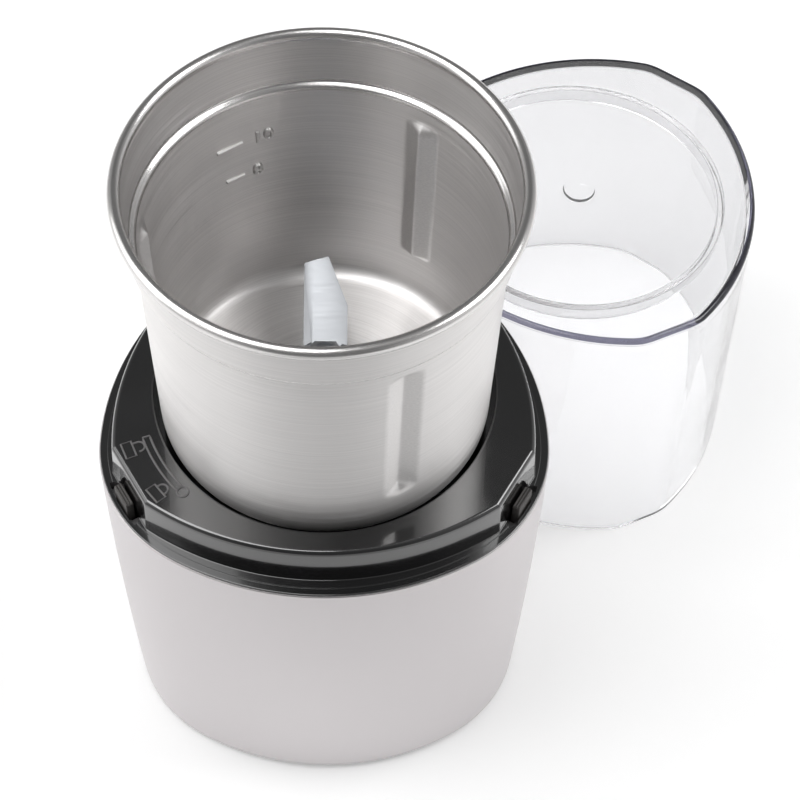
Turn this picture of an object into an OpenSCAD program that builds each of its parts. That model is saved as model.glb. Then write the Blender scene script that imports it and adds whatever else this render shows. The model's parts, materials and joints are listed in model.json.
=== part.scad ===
// Electric food chopper: a motor base with a bowed triangular plan, a steel bowl that
// turns and locks into it, and a clear lid that starts the motor when it is pressed down.
// Millimetres, +Z up, origin under the middle of the base where its feet stand.

/* [Housing] */
// Centre of the housing to the middle of a side, at the top of the sleeve
side_reach = 54.75; // [53.5:0.05:56]
// Radius of the bow along each side
side_bow = 73.8; // [72:0.1:76]
// Radius of the rounded corners between the sides
corner_round = 40; // [37:0.5:41]
// Height of the steel sleeve
sleeve_h = 103.8; // [100:0.1:112]
// Thickness of the steel sleeve
sleeve_t = 0.7; // [0.5:0.05:0.9]
// How far the housing draws in from its top to its foot
foot_taper = 2.3; // [1:0.1:3]
// Wall of the plastic chassis inside the sleeve
chassis_t = 2; // [1.6:0.1:2.4]
// Height of the rubber feet under the housing
foot_h = 1.6; // [1.2:0.1:4]
// Radius of each rubber foot
foot_r = 6; // [4:0.25:7]
// Centre of the base to each foot
foot_reach = 45; // [42:0.5:47]
// Thickness of the bottom cover
cover_t = 2.6; // [2:0.1:3.5]
// Width of each air slot in the bottom cover
vent_w = 3; // [2:0.25:4]
// Number of air slots in the bottom cover
vent_count = 7; // [3:2:7]

/* [Deck] */
// Height of the raised platform over the ledge for the lid
platform_h = 11.3; // [9:0.1:13]
// Centre to the middle of a platform side, at its top
platform_reach = 49.45; // [48.6:0.05:50]
// Radius of the bow along each platform side
platform_bow = 73.8; // [72:0.1:76]
// Centre to each flat platform corner, at its top
platform_corner = 55.13; // [54.6:0.05:55.6]
// How far the platform walls lean in from ledge to top
platform_draft = 0.75; // [0.3:0.05:1]
// Rounding along the top edge of the platform
platform_edge = 1; // [0.5:0.1:1.5]
// Thickness of the deck's walls
deck_t = 2.3; // [1.8:0.1:2.6]
// Radius of the well that takes the foot of the bowl
well_r = 43.2; // [42.8:0.1:43.6]
// Depth of the well from the platform top to its floor
well_depth = 15.9; // [15.9:0.1:18]
// Length of each corner pocket along the corner
pocket_l = 12.4; // [10:0.2:13]
// Depth of each corner pocket below the ledge
pocket_depth = 3.1; // [2:0.1:4]

/* [Bowl] */
// Radius of the bowl over its rolled lip
bowl_r = 47.5; // [46.5:0.1:49]
// Height of the steel bowl
bowl_h = 85; // [75:0.5:100]
// Thickness of the bowl's sheet steel
bowl_t = 0.8; // [0.6:0.05:1.2]
// Thickness of the rolled lip
lip_t = 3; // [2:0.1:3.6]
// Radius of the bowl just under its shoulder
body_top_r = 43; // [42.4:0.1:43.6]
// Radius of the bowl just over its rounded bottom
body_low_r = 41.6; // [41:0.1:42.3]
// Depth of the shoulder below the lip
shoulder_drop = 15.3; // [12:0.1:20]
// Rounding between the bowl's wall and its floor
bowl_round = 5; // [3:0.25:7]
// Number of flutes pressed into the bowl's wall
flute_count = 3; // [3:1:4]
// Depth of each flute
flute_depth = 1.4; // [0.8:0.1:1.8]
// Radius of the press tool that makes each flute
flute_r = 7.6; // [5:0.2:9]
// Direction of the first flute
flute_az = 56.5; // [30:0.5:80]
// Height of the plastic foot under the bowl
bowl_foot_h = 9.5; // [9:0.1:11]
// Radius of the plastic foot under the bowl
bowl_foot_r = 38.4; // [37:0.1:39]
// Thickness of each locking lug on the bowl's foot
lug_t = 3.4; // [2.8:0.1:3.8]
// Width of each locking lug, as an angle
lug_arc = 24; // [18:1:28]
// Turn of the bowl from its entry to its lock
lock_turn = 23; // [20:1:26]

/* [Blades] */
// Radius swept by the blades
blade_r = 33; // [28:0.5:36]
// Thickness of the blade steel
blade_t = 1.5; // [1.2:0.1:2]
// Width of each blade wing at its root
blade_w = 11; // [8:0.5:13]
// Rise of the upper blade's wings
blade_rise = 25; // [15:1:30]
// Radius of the blade shaft
shaft_r = 3; // [2.5:0.1:3.4]
// Height of the bearing tower over the bowl's floor
tower_h = 9.5; // [8:0.1:12]

/* [Drive] */
// Radius over the teeth of the driven hub
hub_r = 7.6; // [7:0.1:8.2]
// Number of teeth on the driven hub
hub_teeth = 6; // [4:1:8]
// Height of the driven hub
hub_h = 7.4; // [6:0.1:7.6]
// Radius of the drive socket on the motor shaft
socket_r = 11.5; // [11:0.1:12]
// Radius of the motor shaft
motor_shaft_r = 4; // [3:0.1:4.4]
// Width over the flats of the stator
stator_w = 54; // [53:0.2:55]
// Height of the stator and armature stacks
stack_h = 24; // [20:0.5:26]
// Radius of the armature
armature_r = 17.1; // [16:0.1:17.2]
// Number of armature slots and commutator bars
slot_count = 12; // [8:2:14]
// Radius of the commutator
commutator_r = 10; // [8.5:0.1:11]
// Height of the commutator
commutator_h = 10; // [8:0.1:11]
// How far the fan's edge lies inside the stator's flats
fan_inset = 1; // [0:0.5:6]
// Number of fan blades
fan_blades = 9; // [5:1:12]
// Height of the cooling fan
fan_h = 8; // [5:0.25:8]

/* [Start ring] */
// Travel of the ring when the lid is pressed down
press_travel = 3.8; // [2.5:0.1:4]
// Height of the ring's lugs over the ledge
start_lug_h = 3.8; // [3:0.1:4.5]
// Length of each lug along its corner
start_lug_l = 7; // [5:0.1:7.4]
// Width of each lug across its corner
start_lug_w = 2.1; // [1.6:0.1:2.2]
// Thickness of the ring
ring_t = 2.6; // [2:0.1:3]
// Wire of the ring's return springs
spring_wire = 0.6; // [0.4:0.05:0.8]

/* [Lid] */
// Height of the clear lid
lid_h = 94.3; // [92:0.1:105]
// Centre of the lid to the middle of a side, at its open end
lid_reach = 54.3; // [54:0.05:54.5]
// Radius of the bow along each side of the lid, at its open end
lid_bow = 73.45; // [72:0.05:76]
// Centre of the lid to each flat corner, at its open end
lid_corner = 59.8; // [59.4:0.05:60]
// How far the lid's sides draw in from its open end to its top
lid_taper = 3.55; // [3:0.05:4]
// How far the lid's corners draw in from its open end to its top
lid_corner_taper = 4.2; // [3.6:0.05:4.6]
// Wall of the lid
lid_t = 2.4; // [2:0.1:2.6]
// Radius of the collar under the lid's top
collar_r = 41.8; // [38:0.1:42]
// Depth of the collar under the lid's top
collar_h = 5; // [3:0.25:6]
// Place of the lid beside the base, to the right
lid_x = 71.2; // [71.2:0.1:90]
// Place of the lid beside the base, to the back
lid_y = 85.3; // [85.3:0.1:100]
// Turn of the lid where it stands
lid_turn = -35.5; // [-40:0.5:-30]

/* [Hidden] */

// Directions of the sides and of the corners between them
side_az = [270, 30, 150];
corner_az = [90, 210, 330];

// Clearances
fit = 0.15;
run_fit = 0.05;
free_gap = 0.3;

// Heights of the base, from the floor up
z_cover = foot_h;
z_cover_top = z_cover + cover_t;
z_rim = foot_h + sleeve_h;
flange_t = 0.7;
z_ledge = z_rim + flange_t;
z_top = z_ledge + platform_h;
z_well = z_top - well_depth;
well_floor_t = 3;
z_well_under = z_well - well_floor_t;

// Plan: each side bows about a centre behind it, each corner turns about its own
plan_e = side_bow - side_reach;
plan_g = (sqrt(4 * pow(side_bow - corner_round, 2) - 3 * pow(plan_e, 2)) - plan_e) / 2;
plan_a = atan2(plan_g * sin(60), plan_g * cos(60) + plan_e);
corner_reach = plan_g + corner_round;
sleeve_steps = 6;
side_steps = 14;
corner_steps = 10;
sleeve_curl = 1.2;
skirt_t = 1.6;
skirt_h = 6;
flange_inset = 0.3;
flange_edge = 0.6;
inside = sleeve_t + fit;

// Fasteners: shank radius, head radius, head height
screw = [1.6, 3, 1.8];
bolt = [1.9, 3.4, 2.4];

// Deck bosses and the chassis tabs under them
boss_reach = 42.6;
boss_r = 3.8;
boss_h = 7.2;
z_boss = z_well_under - boss_h;
tab_t = 3;
pillar_reach = 43.4;
pillar_r = 4;
pillar_h = 18;

// Start ring and its springs
z_lug_top = z_ledge + start_lug_h;
pocket_wall = 1.4;
z_pocket = z_ledge - pocket_depth;
ledge_t = 2.5;
ring_drop = 2.6;
z_ring_top = z_pocket - pocket_wall - ring_drop;
z_ring = z_ring_top - ring_t;
z_chassis_top = z_ring - press_travel - 0.8;
ring_r0 = 47.2;
ring_r1 = 50;
lug_out = corner_reach - sleeve_t - fit - 1.05;
arm_r0 = 45.6;
spring_reach = 48.6;
spring_r = 2.1;
spring_turns = 5;
spring_h = 7.6;
z_spring = z_ring - spring_h;
pocket_out = inside + 0.7;
pocket_in = lug_out - start_lug_w - 0.8;

// Motor, hung from three bosses under the well
mount_reach = 33;
mount_r = 4.5;
mount_boss_h = 8.2;
mount_h = 4;
bracket_t = 3;
z_mount = z_well_under - mount_boss_h;
z_bracket_top = z_mount - mount_h;
z_bracket = z_bracket_top - bracket_t;
post_r = 3.1;
post_up = 13;
post_low = 21;
z_stack_top = z_bracket - post_up;
z_stack = z_stack_top - stack_h;
z_low_top = z_stack - post_low;
z_low = z_low_top - bracket_t;
bolt_edge = 3.7;
post_at = stator_w / 2 - bolt_edge;
bearing_r = 8;
bearing_h = 7;
bearing_wall = 2.6;
z_up_bearing = z_bracket_top + 1.6 - bearing_h;
z_low_bearing = z_low - 2.6;
fan_gap = 1.2;
z_fan_top = z_low_bearing - 1 - fan_gap;
z_fan = z_fan_top - fan_h;
fan_r = stator_w / 2 - fan_inset;
fan_hub_r = 7;
shaft_end = 0.8;
z_comm_top = z_stack - 6.6;
z_comm = z_comm_top - commutator_h;
z_brush = (z_comm + z_comm_top) / 2;
winding_h = 5.6;
winding_r = armature_r - 1.6;
air_gap = 0.5;
bore_r = armature_r + air_gap;
coil_t = 3.7;
coil_h = 6.3;
coil_play = 0.3;
coil_wall = 1.4;
coil_in = 9.6;
window_half = stator_w * 0.36;
coil_side = window_half - 1.44;
coil_end = stator_w / 2 - 3.4;
coil_flat = post_at - post_r - 5.2;
brush_l = 14;
brush_w = 6;
brush_t = 4.4;
holder_wall = 1;
holder_l = 24;

// Drive: the socket on the motor shaft takes the hub under the bowl
hub_root = hub_r - 2.2;
hub_tooth = 2.9;
socket_play = 0.35;
z_socket_top = z_well - 0.6;
z_hub_top = z_socket_top + 0.4;
z_hub = z_hub_top - hub_h;
z_socket_floor = z_hub - 0.7;
z_socket = z_bracket_top + 1.6 + 1.2;
socket_grip = z_socket_floor - z_socket;
z_motor_shaft = z_fan - shaft_end;
z_motor_shaft_top = z_socket_floor - 0.3;

// Bowl, standing on the well's floor
seat_gap = 0.3;
z_foot = z_well + seat_gap;
z_bowl = z_foot + bowl_foot_h;
z_lip = z_bowl + bowl_h;
foot_wall = 2.4;
foot_lug_out = well_r - 0.8;
tab_gap = 0.3;
z_tab = z_foot + lug_t + tab_gap;
tab_h = 2.4;
tab_in = bowl_foot_r + 0.5;
entry_arc = lug_arc + 4;
lug_az = [30, 150, 270];
shoulder_r = bowl_r - 2.4;
shoulder_in = 2.5;
flute_up = z_lip - 21.3;
flute_low = z_bowl + 15.7;
tower_r = 8;
tower_hole = tower_r + 0.2;
z_floor = z_bowl + bowl_t;
z_tower = z_floor + tower_h;
seal_h = 2;
sleeve_r = 5.4;
gasket_t = 0.8;
clip_t = 0.7;
washer_t = 0.6;
clip_gap = 0.15;
z_clip_top = z_foot + 1.6;
z_sleeve_low = z_clip_top + clip_gap;
z_seal = z_tower - seal_h;
z_washer = z_tower + 0.2;
z_blade = z_washer + washer_t;
spacer_t = 1;
z_spacer = z_blade + blade_t;
z_upper = z_spacer + spacer_t;
z_nut = z_upper + blade_t;
nut_h = 4.2;
foot_screw_reach = 26;

// Switch under the start ring
switch_az = 180;
switch_body = [6, 20, 10];
switch_r0 = 44.5;
switch_foot_l = 4.3;
lever_gap = 0.3;
lever_t = 0.5;
lever_w = 4;
lever_arm = 14.5;
lever_rise = 6;
lever_rest = atan2(lever_rise, lever_arm);
z_lever = z_ring - switch_foot_l - lever_gap - lever_rise - lever_t / 2;
z_switch_top = z_lever - 0.7;
lever_t0 = -8.5;
plunger_arm = 2.5;
plunger_r = 0.9;
z_plunger_top = z_lever + plunger_arm * tan(lever_rest) - lever_t / 2 - lever_gap - 0.1;

lid_steps = 20;
cover_screw_l = 12;
blade_tip = 9;
brush_spring_r = 1.5;
brush_spring_wire = 0.5;

// Cord inlet at the back corner
gland_z = foot_h + 13;
terminal = [14, 9, 8];
terminal_r0 = 38;
z_terminal = gland_z + 9.4;
capacitor = [6, 16, 13];
z_capacitor = z_stack + 4.2;
gland_bore = 3.6;
gland_r = 5.4;
gland_flange = 7;

$fn = 96;

// How far the housing has drawn in at a height
function taper(z) = -foot_taper * pow((z_rim - z) / sleeve_h, 2);

// Points of an edge rounded by r, from the wall at [x, z - r] to the top at [x - r, z]
function round_top(x, z, r) = [for (a = [0:18:90]) [x - r + r * cos(a), z - r + r * sin(a)]];

// Area of the rounded plan, grown by an offset; the corners overlap the sides a little
module plan_area(offset) {
    for (az = side_az)
        rotate(az) intersection() {
            translate([-plan_e, 0]) circle(side_bow + offset);
            translate([-plan_e, 0]) polygon([[0, 0], 3 * side_bow * [cos(plan_a), -sin(plan_a)],
                3 * side_bow * [cos(plan_a), sin(plan_a)]]);
        }
    for (az = corner_az) rotate(az) translate([plan_g, 0]) circle(corner_round + offset + 0.02);
}

// Solid with straight walls over the rounded plan
module plan_block(z0, z1, offset) {
    translate([0, 0, z0]) linear_extrude(z1 - z0) plan_area(offset);
}

// Points round the plan at an offset: sides and corners in turn, counter-clockwise
function plan_ring(offset) = [for (az = side_az) each concat(
    [for (i = [0:side_steps - 1]) let (a = plan_a * (2 * i / side_steps - 1))
        [-plan_e * cos(az) + (side_bow + offset) * cos(az + a),
         -plan_e * sin(az) + (side_bow + offset) * sin(az + a)]],
    [for (i = [0:corner_steps - 1]) let (b = az + 60, a = (60 - plan_a) * (2 * i / corner_steps - 1))
        [plan_g * cos(b) + (corner_round + offset) * cos(b + a),
         plan_g * sin(b) + (corner_round + offset) * sin(b + a)]])];

// Closed band along the plan; section is its outline as [offset, z], counter-clockwise
module plan_band(section) {
    m = len(section);
    rings = [for (s = section) [for (p = plan_ring(s[0])) [p[0], p[1], s[1]]]];
    n = len(rings[0]);
    polyhedron([for (r = rings) each r],
        [for (j = [0:m - 1]) for (i = [0:n - 1])
            let (a = j * n, b = (j + 1) % m * n, k = (i + 1) % n)
            each [[a + i, b + i, b + k], [a + i, b + k, a + k]]]);
}

// Closed solid through rings of points that lie one over the other
module loft(rings) {
    n = len(rings[0]);
    m = len(rings);
    polyhedron([for (r = rings) each r], concat(
        [[for (i = [0:n - 1]) i], [for (i = [n - 1:-1:0]) (m - 1) * n + i]],
        [for (j = [0:m - 2]) for (i = [0:n - 1])
            let (a = j * n, b = a + n, k = (i + 1) % n)
            each [[a + i, b + i, b + k], [a + i, b + k, a + k]]]));
}

// What lies outside a rim, which is a list of [offset, z] from bottom to top
function beyond(rim, at) = let (top = rim[len(rim) - 1], far = at + 40)
    concat([[at + rim[0][0], rim[0][1] - 1]], [for (p = rim) [at + p[0], p[1]]],
        [[at + top[0], top[1] + 1], [far, top[1] + 1], [far, rim[0][1] - 1]]);

// Solid over a bowed plan with flat corners, with the rims of its sides and its corners
module cut_plan(rim, corner_rim, reach, bow, corner_at) {
    z0 = rim[0][1];
    e = bow - reach;
    apex = (sqrt(4 * pow(bow, 2) - 3 * pow(e, 2)) - e) / 2;
    half = atan2(apex * sin(60), apex * cos(60) + e) - 0.8;
    difference() {
        translate([0, 0, z0]) cylinder(h = rim[len(rim) - 1][1] - z0, r = apex + 4);
        for (az = side_az) rotate([0, 0, az]) translate([-e, 0, 0])
            rotate_extrude(angle = 2 * half, start = -half) polygon(beyond(rim, bow));
        for (az = side_az) rotate([0, 0, az]) rotate([90, 0, 180])
            linear_extrude(60, center = true) polygon(beyond(corner_rim, corner_at));
    }
}

// Copies the children to a place at a radius, in each of the given directions
module around(directions, reach) {
    for (az = directions) rotate([0, 0, az]) translate([reach, 0, 0]) children();
}

// Tube between two heights
module tube(z0, z1, r_in, r_out) {
    translate([0, 0, z0]) difference() {
        cylinder(h = z1 - z0, r = r_out);
        translate([0, 0, -1]) cylinder(h = z1 - z0 + 2, r = r_in);
    }
}

// Screw that points up from z, with its round head below z
module screw_up(z, size, length) {
    translate([0, 0, z]) cylinder(h = length, r = size[0], $fn = 32);
    translate([0, 0, z - size[2]]) difference() {
        cylinder(h = size[2], r = size[1], $fn = 32);
        for (a = [0, 90]) rotate([0, 0, a]) translate([-size[1] * 0.6, -0.4, -0.1])
            cube([size[1] * 1.2, 0.8, 0.9]);
    }
}

// Coil spring between two heights, as one unbroken wire
module coil(z0, z1, r, wire, turns) {
    steps = 10;
    sides = 5;
    rise = (z1 - z0 - wire) / turns;
    rings = turns * steps;
    points = [for (i = [0:rings]) for (j = [0:sides - 1])
        let (a = i * 360 / steps, b = j * 360 / sides, q = r + wire / 2 * cos(b))
        [q * cos(a), q * sin(a), z0 + wire / 2 + rise * i / steps + wire / 2 * sin(b)]];
    walls = [for (i = [0:rings - 1]) for (j = [0:sides - 1])
        let (k = (j + 1) % sides, a = i * sides, b = (i + 1) * sides)
        each [[a + j, a + k, b + k], [a + j, b + k, b + j]]];
    ends = [for (j = [1:sides - 2])
        each [[0, j + 1, j], [rings * sides, rings * sides + j, rings * sides + j + 1]]];
    polyhedron(points, concat(walls, ends));
}

// HOUSING

// Satin steel sleeve, bowed out a little and curled in at its foot
module outer_sleeve() {
    heights = [for (i = [0:sleeve_steps]) z_cover + sleeve_curl
        + (sleeve_h - sleeve_curl) * i / sleeve_steps];
    outer = concat([[taper(z_cover) - sleeve_curl, z_cover], [taper(z_cover) - 0.36, z_cover + 0.36]],
        [for (z = heights) [taper(z), z]]);
    inner = [for (z = heights) [taper(z) - sleeve_t, z]];
    color("#c9c7c4") difference() {
        plan_band(concat(outer, [for (i = [sleeve_steps:-1:0]) inner[i]],
            [[taper(z_cover) - sleeve_curl, z_cover + sleeve_t]]));
        gland_hole(gland_r + fit);
    }
}

// Hole for the cord gland through the back corner
module gland_hole(r) {
    translate([0, corner_reach - 20, gland_z]) rotate([-90, 0, 0]) cylinder(h = 40, r = r);
}

// Plastic chassis that lines the sleeve and carries the covers, the switch and the springs
module inner_chassis() {
    z0 = z_cover_top + fit;
    steps = sleeve_steps - 1;
    heights = [for (i = [0:steps]) z0 + (z_chassis_top - z0) * i / steps];
    web_w = 2.4;
    color("#2b2b2d") difference() {
        union() {
            plan_band(concat([for (z = heights) [taper(z) - inside, z]],
                [for (i = [steps:-1:0]) [taper(heights[i]) - inside - chassis_t, heights[i]]]));
            around(side_az, pillar_reach) translate([0, 0, z0]) cylinder(h = pillar_h, r = pillar_r);
            to_wall(z0 + 1, z0 + pillar_h - 1) around(side_az, pillar_reach)
                translate([0, -web_w / 2, 0]) cube([20, web_w, 200]);
            to_wall(z_boss - tab_t, z_boss) around(side_az, boss_reach - boss_r)
                translate([0, -boss_r, 0]) cube([20, 2 * boss_r, 200]);
            to_wall(z_spring - 1.6, z_spring) around(corner_az, spring_reach - spring_r - 1.4)
                translate([0, -4, 0]) cube([20, 8, 200]);
            to_wall(z_switch_top - switch_body[2], z_switch_top)
                around([switch_az], switch_r0 + switch_body[0] + fit)
                translate([0, -switch_body[1] / 2, 0]) cube([20, switch_body[1], 200]);
            to_wall(z_capacitor - 0.5, z_capacitor + capacitor[2] + 0.5)
                translate([switch_r0 + capacitor[0] + fit, -capacitor[1] / 2 - 1, 0])
                cube([20, capacitor[1] + 2, 200]);
            to_wall(z_terminal, z_terminal + terminal[2])
                translate([-terminal[0] / 2, terminal_r0 + terminal[1], 0])
                cube([terminal[0], 20, 200]);
        }
        around(side_az, pillar_reach) translate([0, 0, z0 - 1])
            cylinder(h = pillar_h, r = screw[0] + run_fit);
        around(side_az, boss_reach) translate([0, 0, z_boss - tab_t - 1])
            cylinder(h = tab_t + 2, r = screw[0] + fit);
        around([switch_az], 0) switch_holes(screw[0] - 0.6 + run_fit);
        gland_hole(gland_r + fit);
    }
}

// The part of the children between two heights that ends inside the chassis wall
module to_wall(z0, z1) {
    intersection() {
        plan_block(z0, z1, taper((z0 + z1) / 2) - inside - chassis_t / 2);
        children();
    }
}

// Two holes across the switch body, also used in its pad
module switch_holes(r) {
    for (t = [-5, 5])
        translate([switch_r0 - 1, t, z_switch_top - switch_body[2] / 2 - 1]) rotate([0, 90, 0])
            cylinder(h = switch_body[0] + 3, r = r, $fn = 32);
}

// Bottom cover with its air slots, foot sockets and sunk screw holes
module bottom_cover() {
    rim = taper(z_cover) - sleeve_t - 0.7;
    pitch = 2 * vent_w + 0.6;
    reach = fan_r + 2;
    color("#262628") difference() {
        plan_block(z_cover, z_cover_top, rim);
        for (i = [-(vent_count - 1) / 2:(vent_count - 1) / 2])
            let (half = sqrt(max(16, pow(reach, 2) - pow(i * pitch, 2))))
            translate([i * pitch, 0, z_cover - 1]) vent(half, cover_t + 2);
        around(corner_az, foot_reach) translate([0, 0, z_cover - 1]) cylinder(h = cover_t + 2, r = 2.5);
        around(side_az, pillar_reach) translate([0, 0, z_cover - 1]) {
            cylinder(h = cover_t + 2, r = screw[0] + fit);
            cylinder(h = 1 + cover_t / 2, r = screw[1] + 0.4);
        }
    }
}

// One air slot with round ends, along Y
module vent(half, h) {
    linear_extrude(h) union() {
        square([vent_w, 2 * half - vent_w], center = true);
        for (s = [-1, 1]) translate([0, s * (half - vent_w / 2)]) circle(vent_w / 2, $fn = 32);
    }
}

// Three rubber feet with stems that plug into the bottom cover
module rubber_feet() {
    color("#151515") around(corner_az, foot_reach) {
        cylinder(h = 0.5, r1 = foot_r - 0.5, r2 = foot_r);
        translate([0, 0, 0.5]) cylinder(h = foot_h - 0.5, r = foot_r);
        translate([0, 0, foot_h]) cylinder(h = cover_t, r = 2.5 - run_fit);
        translate([0, 0, z_cover_top]) cylinder(h = 1.2, r1 = 3.1, r2 = 2.2);
    }
}

// Screws that hold the bottom cover to the chassis pillars
module cover_screws() {
    color("#8d9094") around(side_az, pillar_reach)
        screw_up(z_cover + cover_t / 2, [screw[0], screw[1], cover_t / 2 - 0.1], cover_screw_l);
}

// Screws that hold the deck's bosses to the chassis tabs
module deck_screws() {
    color("#8d9094") around(side_az, boss_reach) screw_up(z_boss - tab_t, screw, tab_t + 6);
}

// Rubber gland in the cord inlet
module cord_gland() {
    face = corner_reach + taper(gland_z);
    color("#19191a") translate([0, 0, gland_z]) rotate([-90, 0, 0]) difference() {
        union() {
            translate([0, 0, face - 5.6]) cylinder(h = 6.2, r = gland_r);
            translate([0, 0, face + 0.35])
                cylinder(h = 1.45, r1 = gland_flange, r2 = gland_flange - 0.8);
            translate([0, 0, face - 5.6]) cylinder(h = 1.6, r = gland_r + 1.2);
        }
        translate([0, 0, face - 8]) cylinder(h = 12, r = gland_bore);
    }
}

// DECK

// Gloss black deck: lid ledge, raised platform, bowl well and three corner pockets
module deck() {
    lean = platform_draft;
    walls = concat([[lean, z_ledge - ledge_t]], round_top(0, z_top, platform_edge));
    corners = concat([[lean, z_ledge - ledge_t]], round_top(0, z_top, platform_edge - 0.13));
    z_flange = z_ledge - ledge_t;
    color("#1d1d1f") difference() {
        union() {
            difference() {
                union() {
                    plan_block(z_flange, z_rim, -inside);
                    plan_block(z_rim, z_ledge - flange_edge, -flange_inset);
                    // rolled edge
                    for (i = [0:3]) plan_block(z_rim, z_ledge - flange_edge * (1 - sin(22.5 * (i + 1))),
                        -flange_inset - flange_edge * (1 - cos(22.5 * i + 11.25)));
                    cut_plan(walls, corners, platform_reach, platform_bow, platform_corner);
                }
                translate([0, 0, z_flange - 1]) linear_extrude(z_top - deck_t - z_flange + 1)
                    difference() {
                        platform_area(-deck_t);
                        circle(well_r + deck_t);
                    }
            }
            difference() {
                plan_block(z_flange - skirt_h, z_flange + 0.5, -inside);
                plan_block(z_flange - skirt_h - 1, z_flange + 1, -inside - skirt_t);
            }
            tube(z_well_under, z_top - 1, well_r - 1, well_r + deck_t);
            translate([0, 0, z_well_under]) cylinder(h = well_floor_t, r = well_r + deck_t);
            intersection() {
                around(corner_az, pocket_in - pocket_wall) translate([0, -pocket_l / 2 - pocket_wall, 0])
                    cube([20, pocket_l + 2 * pocket_wall, z_ledge - 0.5]);
                plan_block(z_pocket - pocket_wall, z_ledge, -inside);
            }
            around(side_az, boss_reach)
                translate([0, 0, z_boss]) cylinder(h = boss_h + 1, r = boss_r);
            around(corner_az, mount_reach)
                translate([0, 0, z_mount]) cylinder(h = mount_boss_h + 1, r = mount_r);
        }
        difference() {
            translate([0, 0, z_well]) cylinder(h = well_depth + 1, r = well_r);
            bayonet_tabs();
        }
        translate([0, 0, z_well_under - 1]) cylinder(h = well_floor_t + 2, r = socket_r + 1);
        // the skirt and the ring's arms share the corners
        around(corner_az, arm_r0) translate([0, -pocket_l / 2, z_ledge - ledge_t - skirt_h - 1])
            cube([20, pocket_l, skirt_h + 1 - pocket_wall - 0.6]);
        intersection() {
            pocket_shape(z_pocket);
            plan_block(z_pocket - 1, z_ledge + 1, -pocket_out);
        }
        pocket_shape(z_ledge + 0.2);
        around(corner_az, lug_out - start_lug_w - free_gap)
            translate([0, -start_lug_l / 2 - free_gap, z_pocket - 5])
            cube([start_lug_w + 2 * free_gap, start_lug_l + 2 * free_gap, 6]);
        around(side_az, boss_reach) translate([0, 0, z_boss - 1]) cylinder(h = 8, r = screw[0] + run_fit);
        around(corner_az, mount_reach)
            translate([0, 0, z_mount - 1]) cylinder(h = mount_boss_h - 1, r = screw[0] + run_fit);
    }
}

// Area of the platform's top, grown by an offset
module platform_area(offset) {
    intersection_for (az = side_az) rotate(az) intersection() {
        translate([platform_reach - platform_bow, 0]) circle(platform_bow + offset);
        rotate(180) translate([-platform_corner - offset, -platform_bow])
            square([3 * platform_corner, 2 * platform_bow]);
    }
}

// Tabs in the well that hold the bowl's lugs down, with a stop at the end of each
module bayonet_tabs() {
    stop_arc = 4;
    turn_end = lug_arc / 2 + lock_turn + 0.8;
    for (az = lug_az) rotate([0, 0, az]) {
        rotate_extrude(angle = 120 - entry_arc, start = entry_arc / 2)
            translate([tab_in, z_tab]) square([well_r + 1 - tab_in, tab_h]);
        rotate_extrude(angle = stop_arc, start = turn_end)
            translate([foot_lug_out - 1, z_well - 1]) square([well_r + 2 - foot_lug_out, z_tab - z_well + 2]);
        rotate_extrude(angle = stop_arc, start = -lug_arc / 2 - 0.8 - stop_arc)
            translate([foot_lug_out - 1, z_well - 1]) square([well_r + 2 - foot_lug_out, z_tab - z_well + 2]);
    }
}

// Openings of the corner pockets, with round ends, from a height up
module pocket_shape(z) {
    reach = lug_out + 8 - pocket_in;
    end_r = 2;
    around(corner_az, pocket_in) translate([0, 0, z]) linear_extrude(20) union() {
        translate([0, -pocket_l / 2 + end_r]) square([reach, pocket_l - 2 * end_r]);
        translate([end_r, -pocket_l / 2]) square([reach - end_r, pocket_l]);
        for (s = [-1, 1]) translate([end_r, s * (pocket_l / 2 - end_r)]) circle(end_r, $fn = 32);
    }
}

// START RING AND SWITCH

// Ring that the lid presses down, with a ribbed lug up through each corner pocket
module start_ring() {
    ribs = 3;
    color("#222224") {
        tube(z_ring, z_ring_top, ring_r0, ring_r1);
        around(corner_az, 0) {
            translate([arm_r0, -start_lug_l / 2, z_ring])
                cube([lug_out - arm_r0, start_lug_l, ring_t]);
            difference() {
                translate([lug_out - start_lug_w, -start_lug_l / 2, z_ring])
                    cube([start_lug_w, start_lug_l, z_lug_top - z_ring]);
                for (i = [1:ribs - 1])
                    translate([lug_out - start_lug_w + start_lug_w * i / ribs, 0, z_lug_top])
                    rotate([90, 45, 0]) cube([0.5, 0.5, start_lug_l + 2], center = true);
            }
        }
        around([switch_az], ring_r0 - 0.6)
            translate([0, lever_t0 + lever_arm - 1.5, z_ring - switch_foot_l])
            cube([3, 3, switch_foot_l + ring_t]);
    }
}

// Three coil springs that push the ring back up
module return_springs() {
    color("#a9adb1") around(corner_az, spring_reach)
        coil(z_spring, z_ring - 0.02, spring_r, spring_wire, spring_turns);
}

// Body of the start switch
module switch_body() {
    color("#3a2f2a") rotate([0, 0, switch_az]) difference() {
        translate([switch_r0, -switch_body[1] / 2, z_switch_top - switch_body[2]])
            cube(switch_body);
        switch_holes(screw[0] - 0.6 + fit);
        translate([switch_r0 + switch_body[0] / 2, lever_t0 + plunger_arm, z_switch_top - 4])
            cylinder(h = 5, r = plunger_r + 0.1, $fn = 32);
    }
}

// Two screws through the switch into its pad
module switch_screws() {
    color("#8d9094") rotate([0, 0, switch_az]) for (t = [-5, 5])
        translate([switch_r0, t, z_switch_top - switch_body[2] / 2 - 1]) rotate([0, 90, 0]) {
            cylinder(h = switch_body[0] + 1.6, r = screw[0] - 0.6, $fn = 32);
            translate([0, 0, -1.3]) cylinder(h = 1.3, r = 2, $fn = 32);
        }
}

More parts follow.
